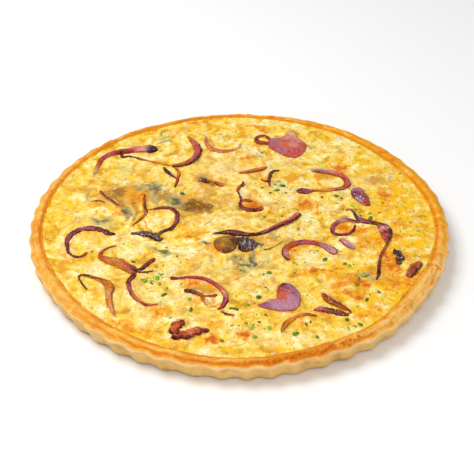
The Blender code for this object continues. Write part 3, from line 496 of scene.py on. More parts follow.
# What shows in and under the custard's skin: each patch's x, y and half sizes along and across in
# millimetres, its strength and, where it is turned, its turn in degrees.
PATCHES = {
    "tan": (
        (0, 62, 42, 22, 0.55), (-8, 30, 40, 20, 0.6), (14, -30, 30, 26, 0.6), (-20, -50, 40, 20, 0.5),
        (30, -70, 20, 12, 0.3), (-60, 45, 22, 12, 0.35), (84, 44, 12, 9, 0.8), (30, 30, 26, 20, 0.5),
        (-14, 92, 12, 7, 0.5), (95, 50, 5, 4, 0.8),
    ),
    "pale": (
        (40, -10, 14, 7, 0.8), (-8, 0, 18, 8, 0.7), (8, -60, 14, 6, 0.7), (-70, -20, 12, 8, 0.7),
        (58, 12, 9, 7, 0.7), (-12, 54, 20, 8, 0.7), (-38, -76, 14, 8, 0.7), (20, 20, 12, 6, 0.6),
        (-84, -50, 10, 8, 0.7), (60, -36, 8, 5, 0.6), (30, 70, 14, 7, 0.6), (0, -100, 20, 5, 0.6),
        (94, -6, 5, 8, 0.5), (-50, -90, 12, 6, 0.6), (-96, 0, 8, 8, 0.5), (70, 40, 8, 6, 0.5),
        (62, -103, 8, 4, 1.0, 10), (46, -104, 8, 5, 0.6), (-78, 82, 10, 4, 0.8, 30), (46, 18, 12, 6, 0.5),
        (38, -36, 9, 5, 0.7), (-32, -34, 10, 6, 0.7), (-50, 0, 5, 5, 0.6), (-84, -24, 10, 6, 0.5),
        (-60, -70, 14, 10, 0.6), (-78, -84, 10, 6, 0.6), (-30, -90, 14, 4, 0.6), (20, -108, 20, 5, 0.6),
        (-10, 60, 16, 8, 0.4), (60, 84, 14, 6, 0.5, -30), (78, -14, 3, 8, 0.6), (20, 100, 12, 4, 0.4),
        (-20, -22, 3, 3, 0.6), (14, -54, 12, 5, 0.4),
    ),
    "green": (
        (-40, 24, 5, 4, 0.9), (-44, 16, 4, 4, 0.7), (4, -40, 7, 4, 0.8, -20), (-52, 36, 6, 4, 0.7, 20),
        (-50, 96, 8, 3, 0.8, 10), (-34, 8, 5, 3, 0.5), (-36.5, 29.1, 3.4, 2.2, 1.0),
        (-46, -31, 7, 2.2, 0.8, -20), (-84, -6, 7, 4, 0.6), (-46, 46, 3, 9, 0.5), (-76, 58, 7, 5, 0.45),
        (26, 38, 6, 4, 0.5), (-52, 95, 6, 3, 0.5), (66, 24, 8, 4, 0.4), (8, -46, 9, 5, 0.6),
        (16, -36, 3, 8, 0.6, 10), (-47, -54, 5, 7, 0.45), (-22, -46, 6, 3, 0.4), (76, -54, 5, 4, 0.6),
        (30, 60, 9, 5, 0.35), (-60, -28, 5, 4, 0.4), (40, -44, 5, 3, 0.4), (-92, 46, 5, 4, 0.3),
        (22, -84, 4, 2, 0.3), (56, 60, 5, 4, 0.35),
    ),
    "umber": (
        (-70, 28, 26, 14, 0.48, 12), (-30, 20, 24, 13, 0.46, -10), (-21, 41.4, 9, 4, 1.1, -25),
        (8, 13.4, 6, 4.4, 0.9), (2, 12, 3, 4, 1.0), (-22, -66, 12, 5, 0.7, -20), (-36, -4, 4, 8, 0.4),
        (-28, 15.6, 12, 7.6, 1.2, -26), (-22, 13.6, 8, 5, 1.1, -24), (-33.6, 15.6, 7, 8, 1.1),
        (-58, -100, 18, 3, 0.4, -27), (-67, 22, 4, 10, 1.1), (-60.5, 22, 3, 9, 0.8),
        (-77, 30, 9, 5, 0.95, 24), (-84, 24, 5, 9, 0.6, 20), (-47, 26, 3, 9, 0.8), (-40, 22, 4, 5, 0.7),
        (-2, -38, 5, 4, 0.5), (12, -44, 4, 3, 0.5), (22, 8, 4, 3, 0.4), (78, -50, 5, 4, 0.7),
        (64, 2, 4, 3, 0.5), (50, -20, 5, 3, 0.4), (-70, 35, 7, 2.6, 0.75, 24), (-88, 33, 5, 4, 0.45),
        (-22.6, 42, 6, 3.4, 0.7, -30), (-13.9, 99.4, 2.4, 2.4, 0.7), (-8, 96, 4, 3, 0.4),
        (-60.4, -100.5, 3.4, 3.0, 0.7), (-104, -47, 2.0, 8, 0.6, 8), (-54, 28, 3, 10, 0.6),
        (34, 46, 5, 4, 0.55), (-2, 12, 5, 7, 0.35), (32, -54, 3, 2, 0.8), (26, -37, 3, 2, 0.5),
        (8, -20, 6, 3, 0.6), (22, -17, 5, 2, 0.6, 20), (60, -56, 5, 2.4, 0.6), (90, 44, 7, 4, 0.6, 20),
        (102, -4, 3, 6, 0.4), (84, -44, 3, 10, 0.7, 8), (70, -14, 4, 3, 0.6), (-25, -64, 7, 3, 0.6, -10),
        (-17, -79, 5, 3, 0.5), (-40, 74, 2, 8, 0.3, -20), (12, 72, 6, 2.2, 0.5), (-44, -87, 4, 4, 0.5),
        (-98, -40, 4, 3, 0.4), (48, -90, 8, 3, 0.3), (6, 25, 4, 6, 0.3),
    ),
    "golden": (
        (-92, -16, 14, 40, 0.5), (-66, -72, 24, 16, 0.4, -30), (-114, 22, 7, 42, 0.9),
        (-106, 62, 5, 14, 0.7), (-70, 96, 9, 5, 0.8, 30), (104, 12, 16, 42, 1.4), (96, -22, 18, 14, 1.4),
        (84, -74, 18, 16, 1.2), (10, -92, 50, 14, 0.5), (62, -52, 18, 12, 1.2), (84, 60, 14, 10, 0.9, -40),
        (44, -64, 14, 8, 0.6), (-60, -98, 18, 8, 0.9, -20), (70, -88, 12, 7, 1.2),
        (55, -106, 16, 7, 1.1, 20), (52, -74, 8, 5, 1.1), (-52, -108, 22, 5, 1.3, -14),
        (0, -112, 40, 6, 1.0), (-98, -48, 6, 24, 0.7, 16), (60, 104, 12, 8, 0.6, -30),
        (85, 65, 16, 12, 0.5, -50), (0, 106, 22, 8, 0.5), (-70, 46, 22, 8, 0.5), (-35, 108, 22, 6, 0.5, 14),
        (92, 12, 8, 14, 0.8),
    ),
    "browned": (
        (9, 13, 5.4, 4.2, 1.2), (64, -8.6, 4.4, 4, 1.1), (48, -87, 6, 3, 0.7, -20), (30, -32, 4, 3, 0.8),
        (-26, -62, 6, 3, 0.9, -20), (86, -60, 8, 4, 0.9, 20), (56, -64, 6, 3, 0.8), (87, -37, 5, 6, 0.95),
        (68, -60, 7, 3.4, 1.0), (62, -70, 8, 2.6, 1.0), (-58, -99.5, 20, 4, 0.62, -27),
        (67.6, -73, 4, 4, 1.05), (47, -50, 8, 2.6, 0.95), (69, 58, 4, 7, 1.0), (94, 28, 4, 7, 0.95),
        (78, -52, 5, 3, 0.95), (92, -50, 5, 4, 1.0), (86, -22, 3, 4, 0.95), (58, -48, 4, 2, 0.9),
        (43, 18, 5, 6, 1.0, -38), (2.5, -104.5, 5, 3.6, 1.1), (-15, -108, 5, 2.6, 1.05),
        (-63, 22, 4, 8, 0.9), (98, -60, 8, 5, 0.8, 40), (78, -84, 6, 4, 0.7), (66, 56, 5.5, 7, 0.95, 14),
        (69, 66, 2.4, 6, 0.6, -20), (41, 17, 4.6, 5.6, 0.95, -38), (-30, -16.6, 4.2, 2.4, 0.8, -8),
        (-25.6, -19.4, 2.6, 1.6, 0.8), (-21, -12.6, 4.6, 2.6, 0.5), (2.6, -104.6, 3.6, 3.6, 1.0),
        (-16, -108.6, 3.4, 2.6, 0.95), (34, -95.6, 5, 4.4, 0.75), (-14, -96, 4, 3.2, 0.6),
        (26, -111, 2.2, 1.8, 0.5), (-33, -111, 4.4, 2.6, 0.6), (-46, -87, 3.6, 4.8, 0.85),
        (-42, -84, 4, 3, 0.6), (-60, -101.6, 4.4, 4.6, 0.5), (62, -70.6, 6, 1.8, 0.95),
        (67.5, -74, 3, 4.4, 1.0, -20), (60, -62, 5, 3.6, 0.8), (73, -62.6, 3.2, 2.4, 1.0),
        (57, -76.6, 3, 1.6, 0.7), (90, -62.4, 6.4, 6, 0.85), (66, -54, 6, 3, 0.7),
        (89, -43, 6, 15, 0.95, 10), (44, -51.6, 8.4, 3.2, 0.7), (55, -54.6, 5, 4, 0.5),
        (68, -89, 5, 3, 0.7), (76, -87, 5, 6, 0.5), (-68, 29, 7, 8, 0.6), (-76, 7.4, 4.6, 6, 0.65, 20),
        (-66, 24, 5.6, 7, 0.6), (-93, 29, 4.4, 8, 0.4), (-87.6, 34.6, 4.4, 3.6, 0.6),
        (-90, 13.6, 4, 2, 0.45), (4, 3.4, 2.8, 7, 0.5), (34, 44.6, 4, 7, 0.5), (36, 50, 3, 3, 0.5),
        (5, 69.6, 4.6, 1.6, 0.85), (6, 66, 5, 3, 0.5), (0, 106, 4, 5, 0.4), (3, 100, 3.6, 4, 0.45),
        (-30, 115.6, 7, 2.4, 0.8, 10), (-21, 121, 6, 1.6, 0.8), (92.4, 27, 2.8, 6.4, 0.85),
        (93, 12, 4, 6, 0.6), (98.6, -3.6, 4.6, 4, 0.75, 20), (95.6, -17.6, 4, 3.6, 0.95),
        (91.6, -19, 3, 2.4, 0.9), (75, -28, 3.4, 7, 0.75), (79, -21, 9, 5, 0.7, 20),
        (65, -8.6, 4.4, 4, 1.0), (76, -11, 7, 3.6, 0.8), (115, -7, 3.4, 3.4, 0.55),
        (117, -17, 3.4, 3.4, 0.5), (99, -37, 3, 6, 0.6), (103, -53, 7, 4.4, 0.8, 30),
        (10, 15, 5.2, 4.6, 1.0), (-44.6, 60.6, 3.6, 3, 0.7), (30.6, -55.4, 1.6, 1.6, 0.95),
        (-31.6, -39.4, 1.9, 1.3, 0.95, -20), (-27, -37.4, 2.4, 2, 0.65), (-28, -34.4, 1.8, 1.4, 0.4),
        (21.6, -37.6, 2.6, 1.6, 0.45), (33, -30.6, 3.4, 3, 0.75), (35, -34.6, 0.9, 0.9, 1.0),
        (30.6, -38, 2, 3, 0.7), (-22, 46, 6, 6, 0.7, -40), (-27, 44, 3, 2, 0.8), (-23, 36, 2, 5, 0.55),
        (-25.6, -1.6, 1.6, 4.4, 0.5), (-36, -6, 4.6, 4.6, 0.45), (-27, 30, 3, 4, 0.5),
        (-37, 23.4, 4, 5, 0.8), (6, -33.6, 7, 3, 0.7), (5, -19, 4, 2.4, 0.5), (-103, -42, 2.2, 10, 0.6, 6),
        (-95.6, -40, 2.4, 2, 0.7), (-104, -50, 2, 7, 0.5, 10), (-25, -61, 5.4, 3.6, 0.75, -20),
        (-17, -65.6, 3.6, 2.6, 0.6), (-16, -81, 4, 2.6, 0.8), (-24, -80, 5, 4, 0.4), (8, -60, 5, 4, 0.25),
        (5, -87, 5, 3.4, 0.35), (12, -80, 3, 3.4, 0.6), (-72, -91, 4.4, 2.2, 0.5, -30),
        (-45, 107, 4, 6, 0.3), (57, 46, 4, 5, 0.2), (-11, -27, 7, 8, 0.7), (-82, -16, 5, 2, 0.5, 20),
        (-92, -14, 7, 1.8, 0.5), (-92, 26, 4, 7, 0.4), (-54, 22, 2.6, 12, 0.55), (88, 44, 2, 7, 0.3, 20),
        (96, 47, 2, 5, 0.35), (10, 28, 3, 3, 0.35), (40, -5, 6, 3, 0.15), (18, -25, 6, 3, 0.25, 30),
        (-4, 78, 6, 2, 0.3),
    ),
    "shaded": (
        (-40, 20, 5, 7, 1.0), (-44, 25, 3, 5, 0.7), (12, -25, 5, 2.6, 1.0), (8, -40, 2, 7, 1.0, 10),
        (3, -44, 6, 1.8, 1.0, -30), (-2, -36, 4, 1.6, 0.8, 20), (-20, -24, 3, 2, 1.1, -20),
        (-46, -31, 7, 1.8, 1.0, -24), (-86, 0, 7, 2, 0.9, -6), (-72, 9, 2, 5, 1.0, 28),
        (-54, 34, 3, 9, 0.9), (-86, -1.6, 6, 2.4, 0.6, -6), (-79, -6.6, 2, 2, 0.5),
        (-69, 7.6, 1.7, 4.4, 0.8, 28), (-55, 26, 3, 12, 0.5), (-52, 21, 1.4, 13, 0.7, 4),
        (-53, 6.6, 1.4, 2.4, 0.6), (-41.6, 20, 3, 9, 0.85), (-42, 26, 3.6, 3.6, 0.6),
        (-21.6, -23.4, 2.6, 1.9, 0.85, -20), (-50, -30, 6.4, 2, 0.6, -34), (-43, -34, 4, 2.2, 0.7, -10),
        (-36, -34, 4, 2, 0.4), (8.6, -36, 1.4, 7, 0.6, 6), (5, -42, 4, 3.4, 0.5),
        (1.6, -49.6, 3.4, 1.8, 0.7, -30), (-7, -47.6, 5, 1.5, 0.4), (6, -27, 4.6, 5.4, 0.9),
        (21.4, -14.4, 3, 2.4, 0.6), (-78, 60, 3.4, 3, 0.4), (-75, 53, 3, 3, 0.25), (-70, 62, 2, 4, 0.3),
        (-54, 90, 3.6, 1.6, 0.6, 20), (-51, 103, 3, 2.4, 0.4), (92, 46, 9, 7, 0.25),
        (100, 46, 2, 4, 0.5, -10), (86, 39, 3, 2, 0.35), (46, 56, 2.6, 2.4, 0.4),
        (-64, 35, 6, 2.2, 0.7, 25), (-58, 38, 2.4, 3.4, 0.9, -40), (-23.6, 46, 3, 5, 0.95, -35),
        (-41, 20, 3, 5.4, 0.9, -10), (-37, 15, 2.6, 4, 0.6), (-10, -50, 5, 2, 0.3), (15, -47, 5, 3, 0.3),
        (-16, -38.6, 3, 2, 0.5), (10.6, -38.6, 1.2, 1.8, 0.7), (73.6, -54, 4, 3.4, 0.6),
        (78, -58, 3, 3, 0.6), (-89, 46, 3, 3, 0.25), (49.6, 84, 3.4, 1.1, 0.8), (15.4, 78, 1, 3, 0.6, 10),
        (20, 70, 2, 3, 0.35), (-15, 97, 0.8, 3.4, 0.4, 8), (26, 39, 5, 3, 0.55, -10), (83, 24, 3, 3, 0.3),
        (66, 26, 4, 3, 0.3), (92, 3, 2, 1.2, 0.4), (8, 83, 1.6, 3, 0.15), (-82, 36, 4, 2, 0.5, 10),
        (-97, 31, 1.6, 7, 0.35), (-48, 90, 2, 2, 0.2), (-80, 70, 3, 2, 0.3), (48, -58, 3, 4, 0.3),
        (-5, 14, 3, 8, 0.2), (-85, -39, 4, 2, 0.2),
    ),
}

# Thin lines that show in the custard: kind, then x, y and width in millimetres along the line.
LINES = (
    ("browned", (6, 113, 1.6), (12, 109.6, 3), (17, 106, 3.2), (20, 102, 2.4)),
    ("shaded", (-54, 99, 1.2), (-54.4, 102.6, 2), (-52, 105.2, 1.5), (-48, 105.4, 1.2)),
    ("browned", (-46, 94, 1.6), (-45, 98, 2.2), (-42, 103, 2.4)),
    ("shaded", (-56, 88.4, 1.4), (-52.6, 90.8, 1.6), (-46, 91.8, 1)),
    ("browned", (12, 87, 1.4), (13, 83.6, 1.4), (14.4, 80.4, 1)),
    ("browned", (15.6, 67.6, 1), (17.4, 63, 1.4), (18.6, 58, 1.6)),
    ("browned", (-60, 0, 1.2), (-58, -4, 1.4), (-56.6, -8.6, 1.4), (-54, -12, 1.6)),
    ("shaded", (8, -29, 1.4), (9, -35, 1.4), (8, -42, 1.2)),
    ("shaded", (-74, 12, 1.2), (-70, 8, 1.8), (-66, 3.6, 1.4)),
    ("browned", (-73.6, 69.4, 1.2), (-71, 66, 1.4)),
    ("browned", (52.6, 48, 1.4), (52.4, 42, 1.6), (54, 36, 1)),
    ("browned", (20.6, 11.4, 0.9), (18.6, 7.6, 0.9), (17, 3.6, 0.8)),
    ("shaded", (-21.4, -4.6, 0.9), (-18.6, -1.4, 0.9), (-15.6, 2, 0.7)),
    ("browned", (50, 20, 1.6), (49.6, 10, 1.6), (52, 2, 1.2)),
    ("browned", (88, 38, 1), (89, 43, 1.2), (91.6, 49, 1)),
    ("browned", (80, 2, 0.6), (88, -27, 0.6)),
    ("shaded", (-97.6, 22, 0.9), (-97.6, 28, 1.2), (-95, 33, 1)),
    ("browned", (2, 70.6, 1.2), (5, 70.2, 1.5), (8.6, 69.4, 1)),
    ("shaded", (-61.6, 38.6, 1.6), (-58, 40, 1.8), (-55, 42.6, 1.2)),
    ("browned", (-83, 33.6, 1.2), (-81, 35.8, 1.8), (-78.6, 37.8, 1.2)),
    ("browned", (1.4, -55.6, 0.8), (-2.4, -58.6, 0.8), (-5, -60, 0.8)),
    ("shaded", (-23.4, -46, 0.6), (-22.4, -42.6, 0.6)),
    ("browned", (13, -28, 1), (20, -26, 1)),
    ("umber", (-64, 27, 2.0), (-60, 31, 2.6), (-55, 35, 3.0), (-51.5, 30, 2.4), (-51, 19, 2.0)),
    ("umber", (-84, 31, 2.2), (-77, 20, 3.2), (-71, 9, 3.6), (-69.5, 0, 2.0)),
    ("umber", (-66, 16, 1.8), (-64, 8, 2.2), (-66, 0, 1.6)),
    ("umber", (-95, 24, 1.4), (-89, 28, 2.2), (-82, 34, 2.0)),
)

# Herb flakes: x, y in millimetres and the flake's length
FLAKES = (
    (-3, -83.8, 5.0), (30.6, -104, 3.8), (-27, -84, 3.2), (-28, -75, 2.4), (11, -73.6, 3.4),
    (10.4, -70.6, 2.8), (6.8, -99, 3.2), (16.4, -99.4, 2.6), (8.4, -105.8, 2.6), (-9.4, -108.6, 2.4),
    (42.4, -106, 2.8), (17.6, -51.2, 3.2), (14.2, -53, 1.8), (63.6, -98.6, 3.4), (66.8, -96, 3.0),
    (79.6, -69, 3.0), (72.6, -75.4, 2.8), (73.2, -53.8, 3.4), (69.6, -57, 2.6), (82.4, 2.4, 3.4),
    (82.4, 7.2, 2.2), (75.8, 4.6, 2.8), (72, 13.6, 2.6), (74, 10.6, 2.2), (62.6, 25.4, 3.2),
    (66, 22.6, 2.2), (53.6, 24.4, 2.2), (24.6, 31.8, 4.2), (15, 34.4, 2.4), (28.4, 12, 2.2), (16, 2.4, 2.2),
    (51.6, 7.6, 2.2), (51, -39.4, 3.4), (47.4, -30.6, 2.4), (65.4, -44.4, 1.8), (62.8, -43, 3.4),
    (68, -62.8, 3.0), (-55.4, -58.6, 4.2), (-48.6, -50.8, 2.4), (-47.4, -56, 3.0), (-46, -61.6, 2.6),
    (-43, -71, 4.0), (-44.6, -32.8, 3.0), (-36.6, 28.6, 4.0), (26.4, 42.4, 3.2), (28.6, 37.4, 3.0),
    (-35, -90.6, 2.4), (36.8, -96.6, 2.4), (14.8, -88.8, 2.0), (106.8, -3.8, 2.2), (105, -17, 2.0),
    (110.2, -12.8, 2.4), (-70, -24.6, 1.6), (-64.4, -24.6, 1.6), (-88.4, -32, 1.8), (21.6, 42.4, 2.8),
    (63, 17.2, 2.2), (45.2, -33, 1.8), (92, 19, 2.2), (-62.8, -41, 2.6), (-50.6, -61.4, 2.4),
    (33.6, -23.4, 1.6), (60, -99.6, 2.6), (3.6, -95, 2.4), (11, -94.8, 2.0), (5, -80, 2.2),
    (15.4, -64, 1.6), (39, -42, 1.6), (46.6, -88, 2.4), (59.6, -92, 3.0), (39.4, -94.6, 2.0),
    (-38.2, -90.4, 2.2), (20.4, 28.6, 2.0), (30.4, 29.6, 1.6), (16, 77, 1.8), (96.4, 21.6, 1.4),
    (100.6, 0.8, 1.4),
)
# Where finer specks of herb lie: each place's x and y, its spread along both, all in millimetres,
# and how many fall there.
SPECKS = (
    (45, 10, 34, 34, 70), (-48, -58, 12, 20, 80), (15, -85, 44, 26, 100), (0, -45, 50, 14, 40),
    (80, -60, 24, 26, 36), (100, 0, 14, 32, 26), (20, 36, 22, 14, 30), (0, 0, 100, 100, 70),
)


# Colours and numbers

def linear(steps):
    """A colour in a screen's 0 to 255 steps, as the linear values that a shader takes."""
    shares = [step / 255 for step in steps]
    return tuple(s / 12.92 if s <= 0.04045 else ((s + 0.055) / 1.055) ** 2.4 for s in shares)


def tone(name):
    """One of the onion's tones, as the linear values that a shader takes."""
    return np.array(linear(TONES[name]))


def smooth_step(value):
    """A value held between 0 and 1 and eased at both ends."""
    value = min(1.0, max(0.0, value))
    return value * value * (3 - 2 * value)


def roughly(x, y, z, length, seed=0.0):
    """Smooth noise from about -1 to 1 whose swells are about the given length apart."""
    return noise.noise(Vector((x / length + seed, y / length - seed, z / length + seed)))


def catmull_rom(before, start, end, after, share):
    """The smooth curve's point a share of the way from start to end."""
    square, cube = share * share, share**3
    return 0.5 * (
        2 * start
        + (end - before) * share
        + (2 * before - 5 * start + 4 * end - after) * square
        + (3 * start - before - 3 * end + after) * cube
    )


def even_samples(points, spacing, closed=False, count=None):
    """Rows evenly spaced along the smooth curve through the given ones; x and y come first."""
    steps = 12
    number = len(points)
    fine = []
    for index in range(number if closed else number - 1):
        if closed:
            four = [points[(index + k - 1) % number] for k in range(4)]
        else:
            four = [points[min(max(index + k - 1, 0), number - 1)] for k in range(4)]
        fine += [catmull_rom(*four, step / steps) for step in range(steps)]
    fine.append(points[0] if closed else points[-1])
    fine = np.array(fine)
    reach = np.concatenate(([0.0], np.cumsum(np.hypot(*np.diff(fine[:, :2], axis=0).T))))
    pieces = count or max(3, round(reach[-1] / spacing))
    targets = np.linspace(0, reach[-1], pieces + 1)[: pieces if closed else None]
    return np.stack([np.interp(targets, reach, column) for column in fine.T], axis=1)


# Heights of the rim and the custard

def by_angle(table, angle):
    """A table's value at an angle in radians, eased between the table's own angles."""
    degrees = math.degrees(angle) % 360
    rows = [*table, (360 + table[0][0], table[0][1])]
    for (low, first), (high, last) in zip(rows, rows[1:]):
        if low <= degrees <= high:
            return first + (last - first) * smooth_step((degrees - low) / (high - low))
    return table[0][1]


def rim_radius(angle):
    """The rim's outer radius without flutes: the case isn't quite round."""
    return by_angle(RIM_RADII, angle)


def rim_inner_radius(angle):
    """Where the rim ends and the custard starts."""
    return rim_radius(angle) - by_angle(RIM_WIDTHS, angle)


def wander(angle, pace):
    """A smooth uneven value from about -1 to 1 that comes back to itself round the rim."""
    return noise.noise(Vector((pace * math.cos(angle), pace * math.sin(angle), 3 * pace))) * 1.6


def rim_height(angle):
    """The rim's top, a little uneven as the solid's is."""
    return RIM_HEIGHT + RIM_UNEVENNESS * wander(angle, HEIGHT_PACE)


def flute_wave(angle, level):
    """The flutes' wave from -1 to 1 at a level from 0, the foot, to 1, the rim, and its depth."""
    depth = FLUTE_DEPTH * (FLUTE_DEPTH_SHARE + FLUTE_DEPTH_SPREAD * wander(angle, DEPTH_PACE))
    depth *= 1 - level * (1 - by_angle(RIM_FLUTE_SHARES, angle))
    drift = FLUTE_DRIFT * wander(angle, DRIFT_PACE)
    return math.cos(FLUTES * angle + drift + math.tau * FLUTE_LEAN * level), depth


def custard_height(x, y):
    """The custard's surface as the solid has it."""
    swell = noise.noise(Vector((x, y, 0)) / SWELL_LENGTH) * SWELL_HEIGHT
    ripple = noise.noise(Vector((x, y, SWELL_LENGTH)) / RIPPLE_LENGTH) * RIPPLE_HEIGHT
    inward = rim_inner_radius(math.atan2(y, x)) - CUSTARD_CLEARANCE - math.hypot(x, y)
    dip = CUSTARD_EDGE_DIP * (1 - smooth_step(inward / DIP_WIDTH))
    return CUSTARD_LEVEL + (swell + ripple) * smooth_step(inward / CALM_WIDTH) - dip


# Pieces

def new_object(name, data):
    """A new object in the scene that shows the given data."""
    made = bpy.data.objects.new(name, data)
    bpy.context.scene.collection.objects.link(made)
    return made


def new_piece(name, bm, material, node, values=None, colours=None, vectors=None):
    """An object from a bmesh, with values per vertex for its material, that replaces a node."""
    mesh = bpy.data.meshes.new(name)
    bm.to_mesh(mesh)
    bm.free()
    for label, data in (values or {}).items():
        mesh.attributes.new(label, "FLOAT", "POINT").data.foreach_set("value", np.float32(data))
    for label, data in (colours or {}).items():
        rgba = np.ones((len(data), 4), np.float32)
        rgba[:, :3] = data
        layer = mesh.attributes.new(label, "FLOAT_COLOR", "POINT")
        layer.data.foreach_set("color", rgba.ravel())
    for label, data in (vectors or {}).items():
        layer = mesh.attributes.new(label, "FLOAT_VECTOR", "POINT")
        layer.data.foreach_set("vector", np.float32(data).ravel())
    mesh.materials.append(material)
    mesh.shade_smooth()
    piece = new_object(name, mesh)
    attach(piece, "root")
    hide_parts(node)
    return piece


def grid_of(bm, rows, closed_round=True):
    """Joins equal rows of vertices by quads; each row closes on itself where asked."""
    for lower, upper in zip(rows, rows[1:]):
        for here in range(len(lower) if closed_round else len(lower) - 1):
            there = (here + 1) % len(lower)
            bm.faces.new((lower[here], lower[there], upper[there], upper[here]))


# Material helpers

def feed(tree, node, inputs):
    """Gives each input of a node, by its name or number, a value or a link."""
    for key, value in inputs.items():
        socket = node.inputs[key]
        if isinstance(value, bpy.types.NodeSocket):
            tree.links.new(value, socket)
        elif socket.type == "RGBA":
            socket.default_value = (*value[:3], 1.0)
        else:
            socket.default_value = value


def place(tree, kind, inputs=None, **settings):
    """Adds a node with settings, and feeds its inputs."""
    made = tree.nodes.new(kind)
    for name, value in settings.items():
        setattr(made, name, value)
    feed(tree, made, inputs or {})
    return made


def ramp(tree, value, *stops):
    """A colour for each value, eased between stops of position and colour."""
    made = place(tree, "ShaderNodeValToRGB", {"Fac": value})
    elements = made.color_ramp.elements
    while len(elements) < len(stops):
        elements.new(0.5)
    for element, (position, colour) in zip(elements, stops):
        element.position = position
        element.color = (*linear(colour), 1.0)
    return made.outputs["Color"]


def blend(tree, share, first, second, way="MIX"):
    """The colour that lies a share of the way from the first to the second."""
    made = place(tree, "ShaderNodeMix", data_type="RGBA", blend_type=way)
    feed(tree, made, {0: share, 6: first, 7: second})
    return made.outputs[2]


def calc(tree, operation, first, second=0.0):
    """The result of one step of arithmetic."""
    return place(tree, "ShaderNodeMath", {0: first, 1: second}, operation=operation).outputs[0]


def lay(tree, base, mask, strength, shade):
    """The base colour with a shade laid over it as strongly as a mask shows."""
    return blend(tree, calc(tree, "MULTIPLY", mask, strength), base, shade)


def step_up(tree, value, low, high, to_low=0.0, to_high=1.0):
    """A smooth step between two values."""
    made = place(
        tree, "ShaderNodeMapRange",
        {"Value": value, "From Min": low, "From Max": high, "To Min": to_low, "To Max": to_high},
        interpolation_type="SMOOTHSTEP",
    )
    return made.outputs[0]


def cloud(tree, where, scale, detail=3.0, roughness=0.55, distortion=0.0):
    """Cloudy noise from about 0.2 to 0.8."""
    made = place(tree, "ShaderNodeTexNoise", {
        "Vector": where, "Scale": scale, "Detail": detail, "Roughness": roughness,
        "Distortion": distortion,
    })
    return made.outputs["Fac"]


def new_group(name, inputs, outputs):
    """An empty shader group with named sockets, and its input and output nodes."""
    group = bpy.data.node_groups.new(name, "ShaderNodeTree")
    for label, kind, value in inputs:
        socket = group.interface.new_socket(label, in_out="INPUT", socket_type=kind)
        if value is not None:
            socket.default_value = value
    for label, kind in outputs:
        group.interface.new_socket(label, in_out="OUTPUT", socket_type=kind)
    return group, group.nodes.new("NodeGroupInput"), group.nodes.new("NodeGroupOutput")


def mottle_group():
    """Cloudy and speckled variation that any baked or cooked surface shows."""
    name = "Mottled Tint"
    if name in bpy.data.node_groups:
        return bpy.data.node_groups[name]
    group, given, result = new_group(
        name,
        (("Vector", "NodeSocketVector", None), ("Color", "NodeSocketColor", None),
         ("Pale", "NodeSocketColor", None), ("Deep", "NodeSocketColor", None),
         ("Cloud Scale", "NodeSocketFloat", 60.0), ("Speckle Scale", "NodeSocketFloat", 500.0),
         ("Amount", "NodeSocketFloat", 0.5)),
        (("Color", "NodeSocketColor"),),
    )
    where = given.outputs["Vector"]
    amount = given.outputs["Amount"]
    broad = cloud(group, where, given.outputs["Cloud Scale"], detail=4.0, distortion=0.4)
    speckle = cloud(group, where, given.outputs["Speckle Scale"], detail=2.0)
    pale = calc(group, "MULTIPLY", step_up(group, broad, 0.50, 0.70), amount)
    deep = calc(group, "MULTIPLY", step_up(group, broad, 0.46, 0.28), amount)
    flecks = calc(group, "MULTIPLY", step_up(group, speckle, 0.56, 0.72), amount)
    colour = blend(group, pale, given.outputs["Color"], given.outputs["Pale"])
    colour = blend(group, deep, colour, given.outputs["Deep"])
    colour = lay(group, colour, flecks, 0.6, given.outputs["Deep"])
    group.links.new(colour, result.inputs["Color"])
    return group


def grain_group():
    """Two sizes of fine relief, as the height for a bump."""
    name = "Baked Relief"
    if name in bpy.data.node_groups:
        return bpy.data.node_groups[name]
    group, given, result = new_group(
        name,
        (("Vector", "NodeSocketVector", None), ("Coarse Scale", "NodeSocketFloat", 400.0),
         ("Fine Scale", "NodeSocketFloat", 1500.0), ("Fine Share", "NodeSocketFloat", 0.4)),
        (("Height", "NodeSocketFloat"),),
    )
    coarse = cloud(group, given.outputs["Vector"], given.outputs["Coarse Scale"], detail=3.0)
    fine = cloud(group, given.outputs["Vector"], given.outputs["Fine Scale"], detail=2.0)
    height = calc(group, "ADD", coarse, calc(group, "MULTIPLY", fine, given.outputs["Fine Share"]))
    group.links.new(height, result.inputs["Height"])
    return group


def use_group(tree, group, inputs):
    """Places a shader group with its own values, and gives its output."""
    return place(tree, "ShaderNodeGroup", inputs, node_tree=group).outputs[0]


def bare_material(name):
    """A new material, its node tree, its shader and its object coordinates."""
    material = bpy.data.materials.new(name)
    material.use_nodes = True
    tree = material.node_tree
    where = tree.nodes.new("ShaderNodeTexCoord").outputs["Object"]
    return material, tree, tree.nodes["Principled BSDF"], where


def bumped(tree, shader, height, strength, distance):
    """Lets a height roughen the surface's light and shade."""
    bump = place(
        tree, "ShaderNodeBump", {"Height": height, "Strength": strength, "Distance": distance}
    )
    tree.links.new(bump.outputs[0], shader.inputs["Normal"])


def value_of(tree, name, output="Fac"):
    """A value, colour or vector that a piece carries at each of its points."""
    return place(tree, "ShaderNodeAttribute", attribute_name=name).outputs[output]


# Materials

